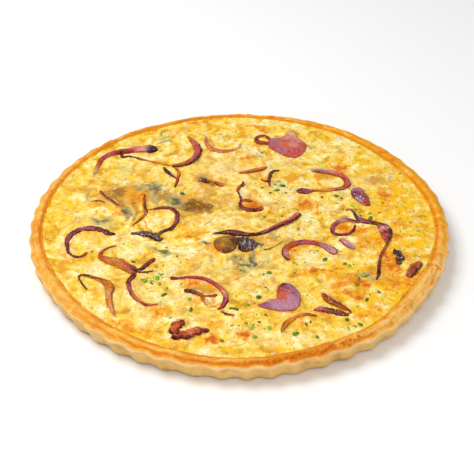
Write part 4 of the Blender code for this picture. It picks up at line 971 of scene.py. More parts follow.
def pastry_material(settings):
    """Shortcrust: a tan wall with painted shade at its foot, a golden rim with browned creases deepened
    by painted shade, a pale bead with a painted highlight, and crumbs where it broke.
    """
    material, tree, shader, where = bare_material("Baked Shortcrust")
    along = cloud(tree, value_of(tree, "streak", "Vector"), 1.0, detail=4.0, roughness=0.6)
    wall = use_group(tree, mottle_group(), {
        "Vector": where, "Color": tuple(settings.wall), "Pale": linear((238, 202, 146)),
        "Deep": linear((184, 134, 64)), "Cloud Scale": 85.0, "Speckle Scale": 700.0, "Amount": 0.7,
    })
    # Painted shade: the wall is darker towards its foot, near the floor.
    colour = lay(tree, wall, value_of(tree, "foot"), 0.7, linear((128, 92, 40)))
    band = use_group(tree, mottle_group(), {
        "Vector": where, "Color": tuple(settings.rim), "Pale": linear((254, 206, 88)),
        "Deep": linear((214, 120, 12)), "Cloud Scale": 150.0, "Speckle Scale": 620.0, "Amount": 1.0,
    })
    folds = calc(tree, "MULTIPLY", value_of(tree, "peach"), step_up(tree, along, 0.36, 0.52))
    band = blend(tree, folds, band, linear((250, 200, 116)))
    patchy = cloud(tree, where, 46.0, detail=4.0, roughness=0.6)
    band = blend(tree, step_up(tree, patchy, 0.50, 0.64, 0.0, 0.75), band, linear((228, 134, 20)))
    band = blend(tree, step_up(tree, patchy, 0.44, 0.32, 0.0, 0.3), band, linear((252, 206, 122)))
    colour = blend(tree, value_of(tree, "rim"), colour, band)
    # The creases: browned, and deepened by painted shade.
    streaky = calc(tree, "MULTIPLY", calc(tree, "SUBTRACT", along, 0.5), 1.8)
    crease_browning_and_shade = calc(tree, "ADD", value_of(tree, "crease_browning_and_shade"), streaky)
    colour = lay(tree, colour, step_up(tree, crease_browning_and_shade, 0.22, 0.75), 0.85, tuple(settings.crease_browning_and_shade))
    colour = lay(tree, colour, step_up(tree, crease_browning_and_shade, 0.75, 1.25), 0.75, linear((196, 100, 4)))
    # The bead: a paler edge with a painted highlight.
    colour = blend(tree, value_of(tree, "bead_and_highlight"), colour, linear((250, 208, 148)))
    crumbs = cloud(tree, where, 560.0, detail=3.0)
    for low, high, strength, shade in (
        (0.44, 0.56, 0.85, (214, 98, 12)), (0.58, 0.68, 0.8, (160, 76, 14)),
    ):
        burnt = calc(tree, "MULTIPLY", value_of(tree, "scorch"), step_up(tree, crumbs, low, high))
        colour = lay(tree, colour, burnt, strength, linear(shade))
    feed(tree, shader, {"Base Color": colour, "Roughness": 0.6, "Specular IOR Level": 0.12})
    relief = use_group(tree, grain_group(), {
        "Vector": where, "Coarse Scale": 520.0, "Fine Scale": 1700.0, "Fine Share": 0.5,
    })
    bumped(tree, shader, calc(tree, "ADD", relief, calc(tree, "MULTIPLY", along, 0.8)), 0.9, 0.0007)
    return material


def custard_material(settings):
    """Baked egg custard: cream and gold mottling, yellow dabs, browned, umber and grey places."""
    material, tree, shader, where = bare_material("Baked Custard")
    broad = cloud(tree, where, 108.0, detail=3.5, roughness=0.53, distortion=0.6)
    # Painted light and shade: the custard is paler on its lumps and deeper gold in its hollows.
    broad = calc(tree, "ADD", broad, calc(tree, "MULTIPLY", value_of(tree, "relief"), 0.10))
    colour = ramp(
        tree, broad, (0.33, (208, 148, 34)), (0.41, (240, 190, 46)), (0.48, (251, 214, 74)),
        (0.56, (253, 228, 126)), (0.66, (255, 244, 180)),
    )
    for kind, scale, low, high, least, strength, shade in (
        ("tan", 170.0, 0.36, 0.60, 0.2, 0.7, linear((238, 198, 126))),
        ("golden", 140.0, 0.40, 0.60, 0.0, 1.0, tuple(settings.golden)),
        ("pale", 205.0, 0.36, 0.52, 0.0, 0.6, tuple(settings.cream)),
    ):
        patchy = step_up(tree, cloud(tree, where, scale, detail=4.0), low, high, least)
        shown = calc(tree, "MULTIPLY", value_of(tree, kind), patchy)
        colour = lay(tree, colour, shown, strength, shade)
    for scale, low, strength, dab in (
        (226.0, 0.59, 0.75, (250, 208, 8)), (263.0, 0.60, 0.60, (196, 164, 52)),
        (187.0, 0.60, 0.45, (240, 186, 124)), (241.0, 0.61, 0.60, (255, 246, 204)),
        (298.0, 0.62, 0.50, (206, 136, 44)), (380.0, 0.64, 0.38, (170, 124, 60)),
    ):
        dabs = cloud(tree, where, scale, detail=2.0, distortion=0.3)
        colour = lay(tree, colour, step_up(tree, dabs, low, low + 0.08), strength, linear(dab))
    ridge = calc(tree, "SUBTRACT", cloud(tree, where, 132.0, detail=4.0), 0.5)
    ridge = step_up(tree, calc(tree, "ABSOLUTE", ridge), 0.022, 0.0)
    wrinkle = calc(tree, "MULTIPLY", ridge, step_up(tree, cloud(tree, where, 61.0), 0.46, 0.58))
    colour = lay(tree, colour, wrinkle, 0.45, linear((200, 146, 70)))
    ragged = cloud(tree, where, 330.0, detail=4.0, roughness=0.62)
    fine = cloud(tree, where, 820.0, detail=3.0, roughness=0.6)
    swing = calc(tree, "ADD", ragged, calc(tree, "MULTIPLY", fine, 0.6))
    swing = calc(tree, "SUBTRACT", swing, 0.8)
    for kind, light, dark, wobble, deepest in (
        ("green", (228, 212, 130), (160, 174, 84), 1.3, 1.1),
        ("umber", (196, 138, 44), (106, 64, 8), 1.5, 1.15),
        ("browned", (246, 168, 26), (204, 78, 4), 2.3, 1.3),
        ("shaded", (184, 168, 108), (84, 72, 48), 0.8, 1.1),
    ):
        amount = calc(tree, "ADD", value_of(tree, kind), calc(tree, "MULTIPLY", swing, wobble))
        colour = blend(tree, step_up(tree, amount, 0.06, 0.66, 0.0, 0.85), colour, linear(light))
        colour = blend(tree, step_up(tree, amount, 0.50, deepest, 0.0, 0.88), colour, linear(dark))
    feed(tree, shader, {
        "Base Color": colour, "Roughness": step_up(tree, ragged, 0.35, 0.65, 0.30, 0.55),
        "Specular IOR Level": 0.18, "Subsurface Weight": 0.04,
        "Subsurface Radius": (0.002, 0.0012, 0.0006),
    })
    relief = use_group(tree, grain_group(), {
        "Vector": where, "Coarse Scale": 330.0, "Fine Scale": 1100.0, "Fine Share": 0.4,
    })
    bumped(tree, shader, relief, 0.8, 0.0007)
    return material


def onion_material(name, settings, shine, vein_share=1.0):
    """Cooked onion: the tones painted along each piece, with veins, mottling, painted glints and a moist
    skin.
    """
    material, tree, shader, where = bare_material(name)
    veins = cloud(tree, value_of(tree, "grain", "Vector"), 1.0, detail=3.0, roughness=0.6)
    mottled = use_group(tree, mottle_group(), {
        "Vector": where, "Color": value_of(tree, "tone", "Color"), "Pale": linear((238, 132, 88)),
        "Deep": linear((74, 10, 18)), "Cloud Scale": 360.0, "Speckle Scale": 1100.0, "Amount": 0.26,
    })
    dark = blend(tree, 1.0, mottled, (0.34, 0.14, 0.16), "MULTIPLY")
    light = blend(tree, 1.0, mottled, (0.34, 0.13, 0.08), "SCREEN")
    blotch = cloud(tree, where, 430.0, detail=3.0)
    # Painted glints: small pale specks in the colour stand in for highlights.
    glint = cloud(tree, where, 820.0, detail=1.0)
    colour = mottled
    for pattern, low, high, strength, shade in (
        (veins, 0.49, 0.34, 0.8 * vein_share, dark), (veins, 0.55, 0.68, 0.75 * vein_share, light),
        (blotch, 0.58, 0.68, 0.5, light), (blotch, 0.42, 0.32, 0.6, dark),
        (glint, 0.66, 0.72, 0.45 + shine, linear((255, 226, 216))),
    ):
        colour = blend(tree, step_up(tree, pattern, low, high, 0.0, strength), colour, shade)
    colour = blend(tree, 1.0, colour, (0.006, 0.011, 0.012), "SUBTRACT")
    colour = blend(tree, 1.0, colour, (0.002, 0.001, 0.001), "LIGHTEN")
    feed(tree, shader, {
        "Base Color": colour, "Roughness": step_up(tree, veins, 0.3, 0.7, 0.20, 0.40),
        "Specular IOR Level": 0.08, "Coat Weight": settings.moisture + shine,
        "Coat Roughness": 0.10, "Subsurface Weight": 0.06,
        "Subsurface Radius": (0.002, 0.0008, 0.0005),
    })
    relief = use_group(tree, grain_group(), {
        "Vector": where, "Coarse Scale": 700.0, "Fine Scale": 2400.0, "Fine Share": 0.3,
    })
    bumped(tree, shader, calc(tree, "ADD", relief, calc(tree, "MULTIPLY", veins, 1.8)), 0.9, 0.0006)
    return material


def herb_material():
    """Chopped herb: dark and bright green from flake to flake, a little dried."""
    material, tree, shader, where = bare_material("Baked Herb")
    colour = use_group(tree, mottle_group(), {
        "Vector": where, "Color": value_of(tree, "tone", "Color"), "Pale": linear((176, 200, 76)),
        "Deep": linear((58, 88, 18)), "Cloud Scale": 900.0, "Speckle Scale": 2100.0, "Amount": 0.4,
    })
    feed(tree, shader, {"Base Color": colour, "Roughness": 0.5, "Specular IOR Level": 0.25})
    relief = use_group(tree, grain_group(), {
        "Vector": where, "Coarse Scale": 1300.0, "Fine Scale": 3200.0, "Fine Share": 0.4,
    })
    bumped(tree, shader, relief, 0.5, 0.0002)
    return material


# Pastry case

def case_profile(angle, wave, settings):
    """The case's section at an angle, from the foot up the wall, over the rim and down inside.

    Each row is a radius, a height, the share of the flutes' depth, and how much of each of the
    finishes shows there.
    """
    width = by_angle(RIM_WIDTHS, angle)
    outer = rim_radius(angle)
    top = rim_height(angle)
    edge = top - EDGE_DROP - settings.droop * by_angle(EDGE_DROOPS, angle)
    shoulder = edge + EDGE_SWELL
    foot = outer - FOOT_INSET
    crumbly = by_angle(CRUMBLY_BANDS, angle)
    bead_and_highlight = by_angle(EDGE_BEADS_AND_HIGHLIGHTS, angle)
    pale = by_angle(PALE_BANDS, angle)
    outer_crease = by_angle(OUTER_CREASES, angle)
    inner_crease = by_angle(INNER_CREASES, angle)
    # The last value in each row is the foot's painted shade: full at the bottom, fading up the wall.
    rows = [
        (foot - 0.0020, 0.0, 0.2, 0, 0, 0, 0, 0, 1.0),
        (foot - 0.0006, 0.0, 0.75, 0, 0, 0, 0, 0, 1.0),
        (foot - 0.0001, 0.0003, 0.9, 0, 0, 0, 0, 0, 1.0),
        (foot + 0.0003, 0.0009, 0.92, 0, 0, 0, 0, 0, 0.7),
    ]
    for share in WALL_SHARES:
        radius = foot + FOOT_INSET * share + 0.0003
        # Painted highlight: the top of the wall takes some of the bead's pale colour.
        lit = smooth_step((share - 0.8) / 0.2) * 0.35 * bead_and_highlight
        rows.append((radius, edge * share, 0.92 + 0.08 * share, 0, 0, lit, 0, 0,
                     0.5 * smooth_step((0.35 - share) / 0.35)))
    rows += [
        (outer + 0.0001, edge - 0.0002, 1.0, 0.15, 0, 0.8 * bead_and_highlight, 0, pale, 0),
        (outer - 0.0001, edge + 0.0002, 1.0, 0.4, 0, bead_and_highlight, 0, pale, 0),
        (outer - 0.0005, shoulder + 0.0002 * wave * bead_and_highlight, 0.98, 0.7, 0, bead_and_highlight, 0, pale, 0),
        (outer - EDGE_ROUND, shoulder + 0.0002 * wave * bead_and_highlight, 0.95, 0.9, 0.1 * outer_crease,
         0.7 * bead_and_highlight, 0.2 * crumbly, pale, 0),
    ]
    start = EDGE_ROUND / width
    for step in range(1, RIM_STEPS):
        along = step / RIM_STEPS
        share = start + (1 - start) * along
        # The outer valley and inner seam are the creases: browned, and deepened by painted shade.
        valley = outer_crease * math.exp(-((along - 0.24) / 0.11) ** 2)
        seam = inner_crease * math.exp(-((along - 0.80) / 0.13) ** 2)
        height = shoulder + (top - shoulder) * smooth_step(along / 0.45)
        height += 0.0005 * math.sin(math.pi * min(1.0, along * 1.3))
        height -= 0.0006 * valley + 0.0011 * seam
        fade = smooth_step((along - 0.86) / 0.14)
        height += (top - INNER_LIP * 0.75 - height) * fade
        band = crumbly * math.exp(-((along - 0.30) / 0.20) ** 2)
        rows.append((outer - width * share, height, 0.86 * (1 - along) ** 1.6, 1, max(valley, seam),
                     0, band, pale * (1 - fade) * math.exp(-((along - 0.42) / 0.35) ** 2), 0))
    inner = outer - width
    rows += [
        (inner - 0.0001, top - INNER_LIP, 0.0, 1, 0.5 * inner_crease, 0, 0, 0, 0),
        (inner - 0.0004, top - INNER_LIP - 0.0010, 0.0, 1, 0.4, 0, 0, 0, 0),
        (inner - 0.0012, FLOOR_THICKNESS + 0.004, 0.0, 1, 0.3, 0, 0, 0, 0),
    ]
    return rows


def crack_depth(angle):
    """How deep the rim is cracked at an angle."""
    degrees = math.degrees(angle) % 360
    return sum(depth * math.exp(-((degrees - middle) / (width * 0.6)) ** 2)
               for middle, width, depth in RIM_CRACKS)


def make_case(settings):
    """The whole case as one closed body: its foot, fluted wall, rim and inner wall."""
    columns = FLUTES * settings.columns_per_flute
    bm = bmesh.new()
    finish, streaks = [], []
    rounds = None
    for column in range(columns):
        angle = math.tau * column / columns
        wave_at_rim, _ = flute_wave(angle, 1.0)
        rows = case_profile(angle, wave_at_rim, settings)
        crack = crack_depth(angle)
        crumbly = by_angle(CRUMBLY_BANDS, angle)
        flaky = by_angle(PALE_BANDS, angle)
        rounds = rounds or [[] for _ in rows]
        for index, (radius, height, share, *values) in enumerate(rows):
            rim, crease_browning_and_shade, bead_and_highlight, scorch, peach, foot = values
            wave, depth = flute_wave(angle, height / RIM_HEIGHT)
            crisp = wave if wave > 0 else wave * (1 + 0.15 * wave)
            radius += share * depth * 0.5 * crisp
            x, y = radius * math.cos(angle), radius * math.sin(angle)
            bump = (roughly(x, y, height, CRUMB_LENGTH, 4.0) * 0.7
                    + roughly(x, y, height, FINE_CRUMB_LENGTH, 9.0) * 0.6)
            lumpy = roughly(x, y, height, LUMP_LENGTH, 21.0)
            ribbed = (roughly(angle * 12, radius * 1100, 0, 1.0, 5.0)
                      + roughly(angle * 31, radius * 700, 0, 1.0, 8.0))
            rough = 0.00018 + 0.0007 * scorch * crumbly + 0.00012 * rim
            keep = smooth_step(height / 0.002)
            out = bump * rough + lumpy * 0.00035 - crack * 0.5
            radius += out * (1 - rim) * keep - crack * 0.7 * rim * share
            rise = bump * rough * 1.6 + lumpy * 0.0007 + ribbed * (0.00012 + 0.00022 * flaky) - crack
            height += rise * rim
            bead_and_highlight = min(1.0, bead_and_highlight * (0.45 + 0.75 * max(0.0, roughly(x, y, 0, 0.007, 2.0) + 0.5)))
            # Cracks take the crease colour: browning with painted shade in the recess.
            crease_browning_and_shade = min(1.2, crease_browning_and_shade + crack * 500 * rim)
            vert = bm.verts.new((radius * math.cos(angle), radius * math.sin(angle), max(0.0, height)))
            rounds[index].append(vert)
            finish.append((rim, crease_browning_and_shade, bead_and_highlight, scorch, peach, foot))
            streaks.append((angle * 16, radius * 900, height * 500 * (1 - rim)))
    grid_of(bm, rounds)
    for row, height, values in ((rounds[0], 0.0, (0, 0, 0, 0, 0, 1)),
                                (rounds[-1], FLOOR_THICKNESS, (1, 0, 0, 0, 0, 0))):
        heart = bm.verts.new((0, 0, height))
        for here, vert in enumerate(row):
            bm.faces.new((vert, heart, row[(here + 1) % columns]))
        finish.append(values)
        streaks.append((0, 0, 0))
    bmesh.ops.recalc_face_normals(bm, faces=bm.faces)
    if bm.calc_volume(signed=True) < 0:
        bmesh.ops.reverse_faces(bm, faces=bm.faces)
    values = dict(zip(FINISHES, np.array(finish).T))
    new_piece(
        "baked_case", bm, pastry_material(settings), "pastry_case", values=values,
        vectors={"streak": streaks},
    )


# Custard

def disc_point(u, v):
    """A place on the unit disc for a place on the square from -1 to 1, with even cells."""
    if u == 0 and v == 0:
        return 0.0, 0.0
    if abs(u) > abs(v):
        radius, angle = u, (math.pi / 4) * (v / u)
    else:
        radius, angle = v, math.pi / 2 - (math.pi / 4) * (u / v)
    return radius * math.cos(angle), radius * math.sin(angle)


def onion_discs():
    """Discs (x, y, radius) in metres that cover the strips and the petals."""
    discs = []
    for strip in STRIPS.values():
        for route in strip.routes:
            points = [np.array(point[:3]) * MM for point in route]
            discs += [(x, y, width / 2) for x, y, width in even_samples(points, 0.0010)]
    for petal in PETALS.values():
        corners = [np.array(corner) * MM for corner in petal.outline]
        middle = sum(corners) / len(corners)
        for x, y in even_samples(corners, 0.0010, closed=True):
            for share in (0.06, 0.3, 0.55, 0.8):
                spot = np.array((x, y)) * (1 - share) + middle * share
                discs.append((*spot, 0.0008 + 0.0022 * share))
    return np.array(discs)


def distance_to_discs(x, y, discs):
    """How far each point is outside the nearest disc; below zero inside one."""
    nearest = np.full(len(x), 1.0)
    for cx, cy, radius in discs:
        near = np.abs(x - cx) < 0.010
        reach = np.hypot(x[near] - cx, y[near] - cy) - radius
        nearest[near] = np.minimum(nearest[near], reach)
    return nearest


def painted(x, y, kind, warp_x, warp_y):
    """How strongly a kind of patch or line shows at each point, with ragged edges."""
    shown = np.zeros(len(x))
    for cx, cy, along, across, strength, *turn in PATCHES[kind]:
        dx, dy = x - cx * MM + warp_x, y - cy * MM + warp_y
        angle = math.radians(turn[0]) if turn else 0.0
        c, s = math.cos(angle), math.sin(angle)
        u = (dx * c + dy * s) / (along * MM)
        v = (-dx * s + dy * c) / (across * MM)
        reach = np.sqrt(u * u + v * v)
        shown = np.maximum(shown, strength * np.clip(1.45 - reach, 0, 1))
    for label, *points in LINES:
        if label != kind:
            continue
        for cx, cy, width in even_samples([np.array(point) * MM for point in points], 0.0007):
            near = np.abs(x - cx) < 0.004
            reach = np.hypot(x[near] - cx + warp_x[near] * 0.3, y[near] - cy + warp_y[near] * 0.3)
            shown[near] = np.maximum(shown[near], np.clip(1.3 - reach / (width * 0.75), 0, 0.75))
    return shown


def make_custard(settings):
    """The custard's skin with its swells and lumps, and a rise against each onion piece."""
    cells = settings.cells
    flat = []
    for row in range(cells + 1):
        for column in range(cells + 1):
            u, v = disc_point(2 * column / cells - 1, 2 * row / cells - 1)
            edge = rim_inner_radius(math.atan2(v, u)) + SKIN_OVERLAP
            flat.append((u * edge, v * edge))
    flat = np.array(flat)
    x, y = flat.T
    outside = np.maximum(distance_to_discs(x, y, onion_discs()), 0)
    warp = np.array([
        (roughly(a, b, 0, SWAY_LENGTH, 3.0) + 0.6 * roughly(a, b, 0, FRAY_LENGTH, 13.0),
         roughly(a, b, 0, SWAY_LENGTH, 31.0) + 0.6 * roughly(a, b, 0, FRAY_LENGTH, 43.0))
        for a, b in flat
    ]).T
    kinds = {kind: painted(x, y, kind, *(warp * STRAY_WIDTH)) for kind in PATCHES}
    # Beside the onion the custard is painted darker: partly browning, partly painted shadow.
    browning_and_shadow = np.exp(-(outside / BROWNING_AND_SHADOW_WIDTH) ** 2) * 0.5 * np.clip(warp[1] * 2 + 0.5, 0, 1)
    kinds["umber"] = np.maximum(kinds["umber"], browning_and_shadow)
    rise = settings.rise * np.exp(-(outside / CLIMB_WIDTH) ** 2)
    heights, reliefs = [], []
    for index, (a, b) in enumerate(flat):
        inward = rim_inner_radius(math.atan2(b, a)) - math.hypot(a, b)
        calm = 0.3 + 0.7 * smooth_step(inward / 0.006)
        clear = 0.3 + 0.7 * smooth_step(outside[index] / 0.003)
        fine = sum(roughly(a, b, 0, length, seed) * height for length, seed, height in SKIN_LUMPS)
        edge_rise = EDGE_RISE * math.exp(-(max(inward, 0.0) / EDGE_RISE_WIDTH) ** 2)
        dent = -0.0006 * kinds["shaded"][index] + 0.0003 * kinds["browned"][index]
        lumps = (fine + dent) * calm * clear
        # The lumps' heights, from which the custard's colour paints light and shade.
        reliefs.append(fine * 2000)
        heights.append(custard_height(a, b) + lumps + edge_rise + rise[index])
    kinds["relief"] = np.array(reliefs)
    bm = bmesh.new()
    verts = [bm.verts.new((a, b, z)) for (a, b), z in zip(flat, heights)]
    side = cells + 1
    grid_of(bm, [verts[row * side:(row + 1) * side] for row in range(side)], closed_round=False)
    border = (
        list(range(side)) + [side * row + cells for row in range(1, side)]
        + [side * cells + column for column in range(cells - 1, -1, -1)]
        + [side * row for row in range(cells - 1, 0, -1)]
    )
    bottom = FLOOR_THICKNESS + 0.0003
    lower = [bm.verts.new((x[i] * 0.985, y[i] * 0.985, bottom)) for i in border]
    grid_of(bm, [lower, [verts[i] for i in border]])
    base = bm.verts.new((0, 0, bottom))
    for here, vert in enumerate(lower):
        bm.faces.new((lower[(here + 1) % len(lower)], vert, base))
    bm.normal_update()
    if bm.calc_volume(signed=True) < 0:
        bmesh.ops.reverse_faces(bm, faces=bm.faces)
    padding = len(lower) + 1
    values = {kind: np.concatenate((shown, np.zeros(padding))) for kind, shown in kinds.items()}
    new_piece(
        "baked_custard", bm, custard_material(settings), "custard", values=values
    )


# Onion strips

def strip_mesh(bm, strip, route, seed):
    """Lofts one strand of a strip: cupped, ribbed, ragged at its edges and pointed at its ends."""
    points = [np.array((x, y, width)) * MM for x, y, width, _ in route]
    shades = [tone(name) for *_, name in route]
    stations = even_samples(
        [np.concatenate((point, shade)) for point, shade in zip(points, shades)], STRIP_SPACING
    )
    last = len(stations) - 1
    rings, tones, grains = [], [], []
    left = tone(strip.left) if strip.left else None
    right = tone(strip.right) if strip.right else None
    shell = tone("shell")
    for index, (x, y, width, *shade) in enumerate(stations):
        ahead, behind = stations[min(index + 1, last)], stations[max(index - 1, 0)]
        along = np.array((ahead[0] - behind[0], ahead[1] - behind[1]))
        along /= np.hypot(*along)
        side = np.array((-along[1], along[0]))
        travelled = index * STRIP_SPACING
        ragged = [
            1 + (0.10 + strip.jag) * (
                roughly(travelled, seed, edge, 0.0034, seed + 40 * edge) * 1.3
                + roughly(travelled, seed, edge, 0.0014, seed + 60 * edge) * 0.9
            )
            for edge in (0, 1)
        ]
        tip = min(1.0, (min(index, last - index) + 0.3) * STRIP_SPACING / (width * 0.4))
        pinch = 0.16 + 0.84 * (1 - (1 - tip) ** 1.8)
        half = width / 2 * pinch
        thick = (0.11 * width + 0.00030) * (0.35 + 0.65 * pinch)
        roll = math.radians(strip.roll + 16 * roughly(travelled, 0, seed, 0.012, seed))
        cup = 0.16 * width * (1 + 0.8 * roughly(travelled, 0, 0, 0.010, seed + 2))
        below = max(custard_height(*(np.array((x, y)) + side * half * k)) for k in (-1, 0, 1))
        middle = below + RESTING_CLEARANCE + width * STRIP_FLATNESS * 0.42
        middle += 0.00030 * roughly(travelled, 0, 0, 0.008, seed + 8)
        sway = 9 * roughly(travelled, 0, 0, 0.02, seed)
        shift = 0.5 * roughly(travelled, 0, 0, 0.010, seed + 4)
        ring = []
        for corner in range(STRIP_SIDES):
            turn = math.tau * corner / STRIP_SIDES
            across, up = math.cos(turn), math.sin(turn)
            ribs = STRIP_RIB * pinch * math.cos(across * math.pi * 2.4 + seed + sway)
            ribs *= up > 0
            rough = strip.jag * 0.0020 * roughly(x + across * 0.001, y, up * 0.001, 0.0016, seed)
            sideways = half * across * (ragged[0 if across > 0 else 1] + rough * 60)
            upward = thick * up + cup * (0.45 - across * across) + ribs + rough
            offset = sideways * math.cos(roll) - upward * math.sin(roll)
            height = middle + sideways * math.sin(roll) + upward * math.cos(roll)
            ring.append(bm.verts.new((x + side[0] * offset, y + side[1] * offset, height)))
            colour = np.array(shade) * (1 + 0.35 * roughly(travelled, across, 0, 0.004, seed + 3))
            if left is not None:
                colour = colour + (left - colour) * smooth_step((across - 0.35) / 0.5) * 0.8
            if right is not None:
                colour = colour + (right - colour) * smooth_step((-across - 0.35) / 0.5) * 0.8
            # Painted highlight: a pale pinkish line along the strip, with a fainter one on its other side.
            highlight_offset = (across - 0.42 + shift) / 0.17
            ridge = math.exp(-highlight_offset ** 2) + 0.5 * math.exp(-((across + 0.5) / 0.14) ** 2)
            ridge *= smooth_step(0.55 + 1.8 * roughly(travelled, across, 0, 0.005, seed + 6))
            colour = colour + (shell * 0.5 - colour * 0.1) * 0.55 * ridge
            # Painted light and shade: lighter along the middle, darker towards the sides.
            colour = colour * (1.22 - 0.22 * abs(across))
            # Darker edges: partly the onion's own dark edges, partly painted shade.
            dark_edge_and_shade = 0.80 + 0.35 * roughly(travelled, 3 if across > 0 else 7, 0, 0.007, seed + 9)
            dark_edge_and_shade *= min(1.0, max(0.35, 1.25 - 1.3 * colour.mean() / 0.3))
            colour = colour * (1 - dark_edge_and_shade * smooth_step((abs(across) - 0.56) / 0.34))
            # Painted shade on the underside.
            if up < -0.2:
                colour = colour * 0.55
            tones.append(colour)
            grains.append((travelled * 110, across * width * 1500, seed + (0 if up > 0 else 3)))
        rings.append(ring)
    grid_of(bm, rings)
    bm.faces.new(list(reversed(rings[0])))
    bm.faces.new(rings[-1])
    return tones, grains


def make_strips(settings):
    """Every strip of caramelised onion, each in the place of its solid."""
    plain = onion_material("Caramelised Onion", settings, 0.0)
    glossy = onion_material("Charred Onion", settings, 0.35)
    for number, (name, strip) in enumerate(STRIPS.items()):
        bm = bmesh.new()
        tones, grains = [], []
        for part, route in enumerate(strip.routes):
            more_tones, more_grains = strip_mesh(bm, strip, route, 3.7 * number + 1.3 * part + 1)
            tones += more_tones
            grains += more_grains
        bmesh.ops.recalc_face_normals(bm, faces=bm.faces)
        bmesh.ops.triangulate(bm, faces=[face for face in bm.faces if len(face.verts) > 4])
        new_piece(
            f"{name}_cooked", bm, glossy if strip.glossy else plain, name,
            colours={"tone": tones}, vectors={"grain": grains},
        )


# Onion petals

def petal_tone(x, y, petal, reach):
    """The tone at a place on a petal: its named tones by nearness, darker towards the edge."""
    total, weight = np.zeros(3), 0.0
    for cx, cy, name in petal.tones:
        near = 1 / ((x - cx * MM) ** 2 + (y - cy * MM) ** 2 + 0.000001) ** 1.6
        total += tone(name) * near
        weight += near
    colour = total / weight
    # Towards the edge the edge tone takes over: partly the onion's darker edge, partly painted shade under
    # its rolled rim.
    return colour + (tone(petal.edge) - colour) * smooth_step((reach - 0.86) / 0.14) * 0.7


def make_petal(name, petal, material, seed):
    """A crowned, ribbed leaf with a rolled ragged edge, thickened to a closed body."""
    corners = [np.array(corner) * MM for corner in petal.outline]
    edge = even_samples(corners, 0, closed=True, count=PETAL_COLUMNS)
    middle = edge.mean(axis=0)
    lean = math.radians(35 + 60 * roughly(seed, 0, 0, 1.0))
    top, rows, tones, grains = bmesh.new(), [], [], []

    def point(x, y, reach):
        crown = PETAL_CROWN * (1 - reach * reach)
        across = (x - middle[0]) * math.cos(lean) + (y - middle[1]) * math.sin(lean)
        folds = petal.folds * math.sin(across * 2200 + seed) * (1 - 0.5 * reach)
        ribs = PETAL_RIB * math.cos(across * petal.ridges * 260)
        curl = PETAL_CURL * smooth_step((reach - 0.75) / 0.25) * (0.2 + roughly(x, y, 0, 0.006, seed))
        height = custard_height(x, y) + RESTING_CLEARANCE + PETAL_LIFT + crown + folds + ribs + curl
        height += 0.00018 * roughly(x, y, 0, 0.003, seed)
        tones.append(petal_tone(x, y, petal, reach))
        grains.append((across * 1400, (x - y) * 90, seed))
        return top.verts.new((x, y, height))

    for ring in range(1, PETAL_RINGS + 1):
        reach = ring / PETAL_RINGS
        row = []
        for column in range(PETAL_COLUMNS):
            wobble = 1 + 0.025 * roughly(edge[column][0], edge[column][1], 0, 0.0022, seed)
            x, y = middle + (edge[column] - middle) * reach * wobble
            row.append(point(x, y, reach))
        rows.append(row)
    heart = point(middle[0], middle[1], 0.0)
    grid_of(top, rows)
    for here, vert in enumerate(rows[0]):
        top.faces.new((vert, rows[0][(here + 1) % PETAL_COLUMNS], heart))
    bmesh.ops.recalc_face_normals(top, faces=top.faces)
    if sum(face.normal.z for face in top.faces) < 0:
        bmesh.ops.reverse_faces(top, faces=top.faces)
    piece = new_piece(
        f"{name}_cooked", top, material, name,
        colours={"tone": tones}, vectors={"grain": grains},
    )
    shell = piece.modifiers.new("thickness", "SOLIDIFY")
    shell.thickness = PETAL_THICKNESS
    shell.offset = -1


def make_petals(settings):
    """Every petal of onion, each in the place of its solid."""
    plain = onion_material("Onion Petal", settings, 0.05, 0.22)
    glossy = onion_material("Glossy Onion Petal", settings, 0.45, 0.4)
    for number, (name, petal) in enumerate(PETALS.items()):
        make_petal(name, petal, glossy if petal.glossy else plain, 2.9 * number + 1)


# Herbs

def leaf_flake(bm, x, y, length, draw, tones):
    """A torn scrap of leaf: a bent, ragged sheet of its own size, lying in the custard's skin."""
    turn = draw.uniform(0, math.tau)
    width = length * draw.uniform(0.45, 0.75)
    bend = draw.uniform(-0.25, 0.35)
    green = np.array(linear(draw.choice(HERB_GREENS)))
    corners = draw.randint(7, 9) if length > LEAF_LENGTH else 5
    sunk = -0.00008 if length > LEAF_LENGTH else 0.00008
    reaches = [draw.uniform(0.72, 1.12) for _ in range(corners)]
    layers = []
    for thickness in (0.0, FLAKE_THICKNESS):
        ring = []
        for corner, reach in enumerate(reaches):
            angle = math.tau * corner / corners
            u = reach * length / 2 * math.cos(angle)
            v = reach * width / 2 * math.sin(angle)
            px = x + u * math.cos(turn) - v * math.sin(turn)
            py = y + u * math.sin(turn) + v * math.cos(turn)
            lift = bend * u * u / length + thickness - sunk
            ring.append(bm.verts.new((px, py, custard_height(px, py) + lift)))
            tones.append(green)
        layers.append(ring)
    grid_of(bm, layers)
    for ring, lift in ((layers[0], -0.00005), (layers[1], 0.00008)):
        middle = sum((vert.co for vert in ring), Vector()) / corners
        heart = bm.verts.new(middle + Vector((0, 0, lift)))
        tones.append(green * 0.9)
        for here, vert in enumerate(ring):
            bm.faces.new((vert, ring[(here + 1) % corners], heart))


def make_herbs(settings):
    """The chopped herb: each flake that shows by its place, and finer specks between them."""
    draw = random.Random(settings.seed)
    discs = onion_discs()
    bm = bmesh.new()
    tones = []
    for x, y, length in FLAKES:
        leaf_flake(bm, x * MM, y * MM, length * FLAKE_SCALE * MM, draw, tones)
    for cx, cy, wide, deep, number in SPECKS:
        for _ in range(number):
            x = (cx + draw.gauss(0, 0.5) * wide) * MM
            y = (cy + draw.gauss(0, 0.5) * deep) * MM
            clear = np.hypot(discs[:, 0] - x, discs[:, 1] - y) - discs[:, 2]
            if math.hypot(x, y) < SPECK_REACH and clear.min() > SPECK_CLEARANCE:
                leaf_flake(bm, x, y, draw.uniform(0.6, 1.6) * MM, draw, tones)
    bmesh.ops.recalc_face_normals(bm, faces=bm.faces)
    new_piece("herb_flakes", bm, herb_material(), "custard", colours={"tone": tones})


# Stage

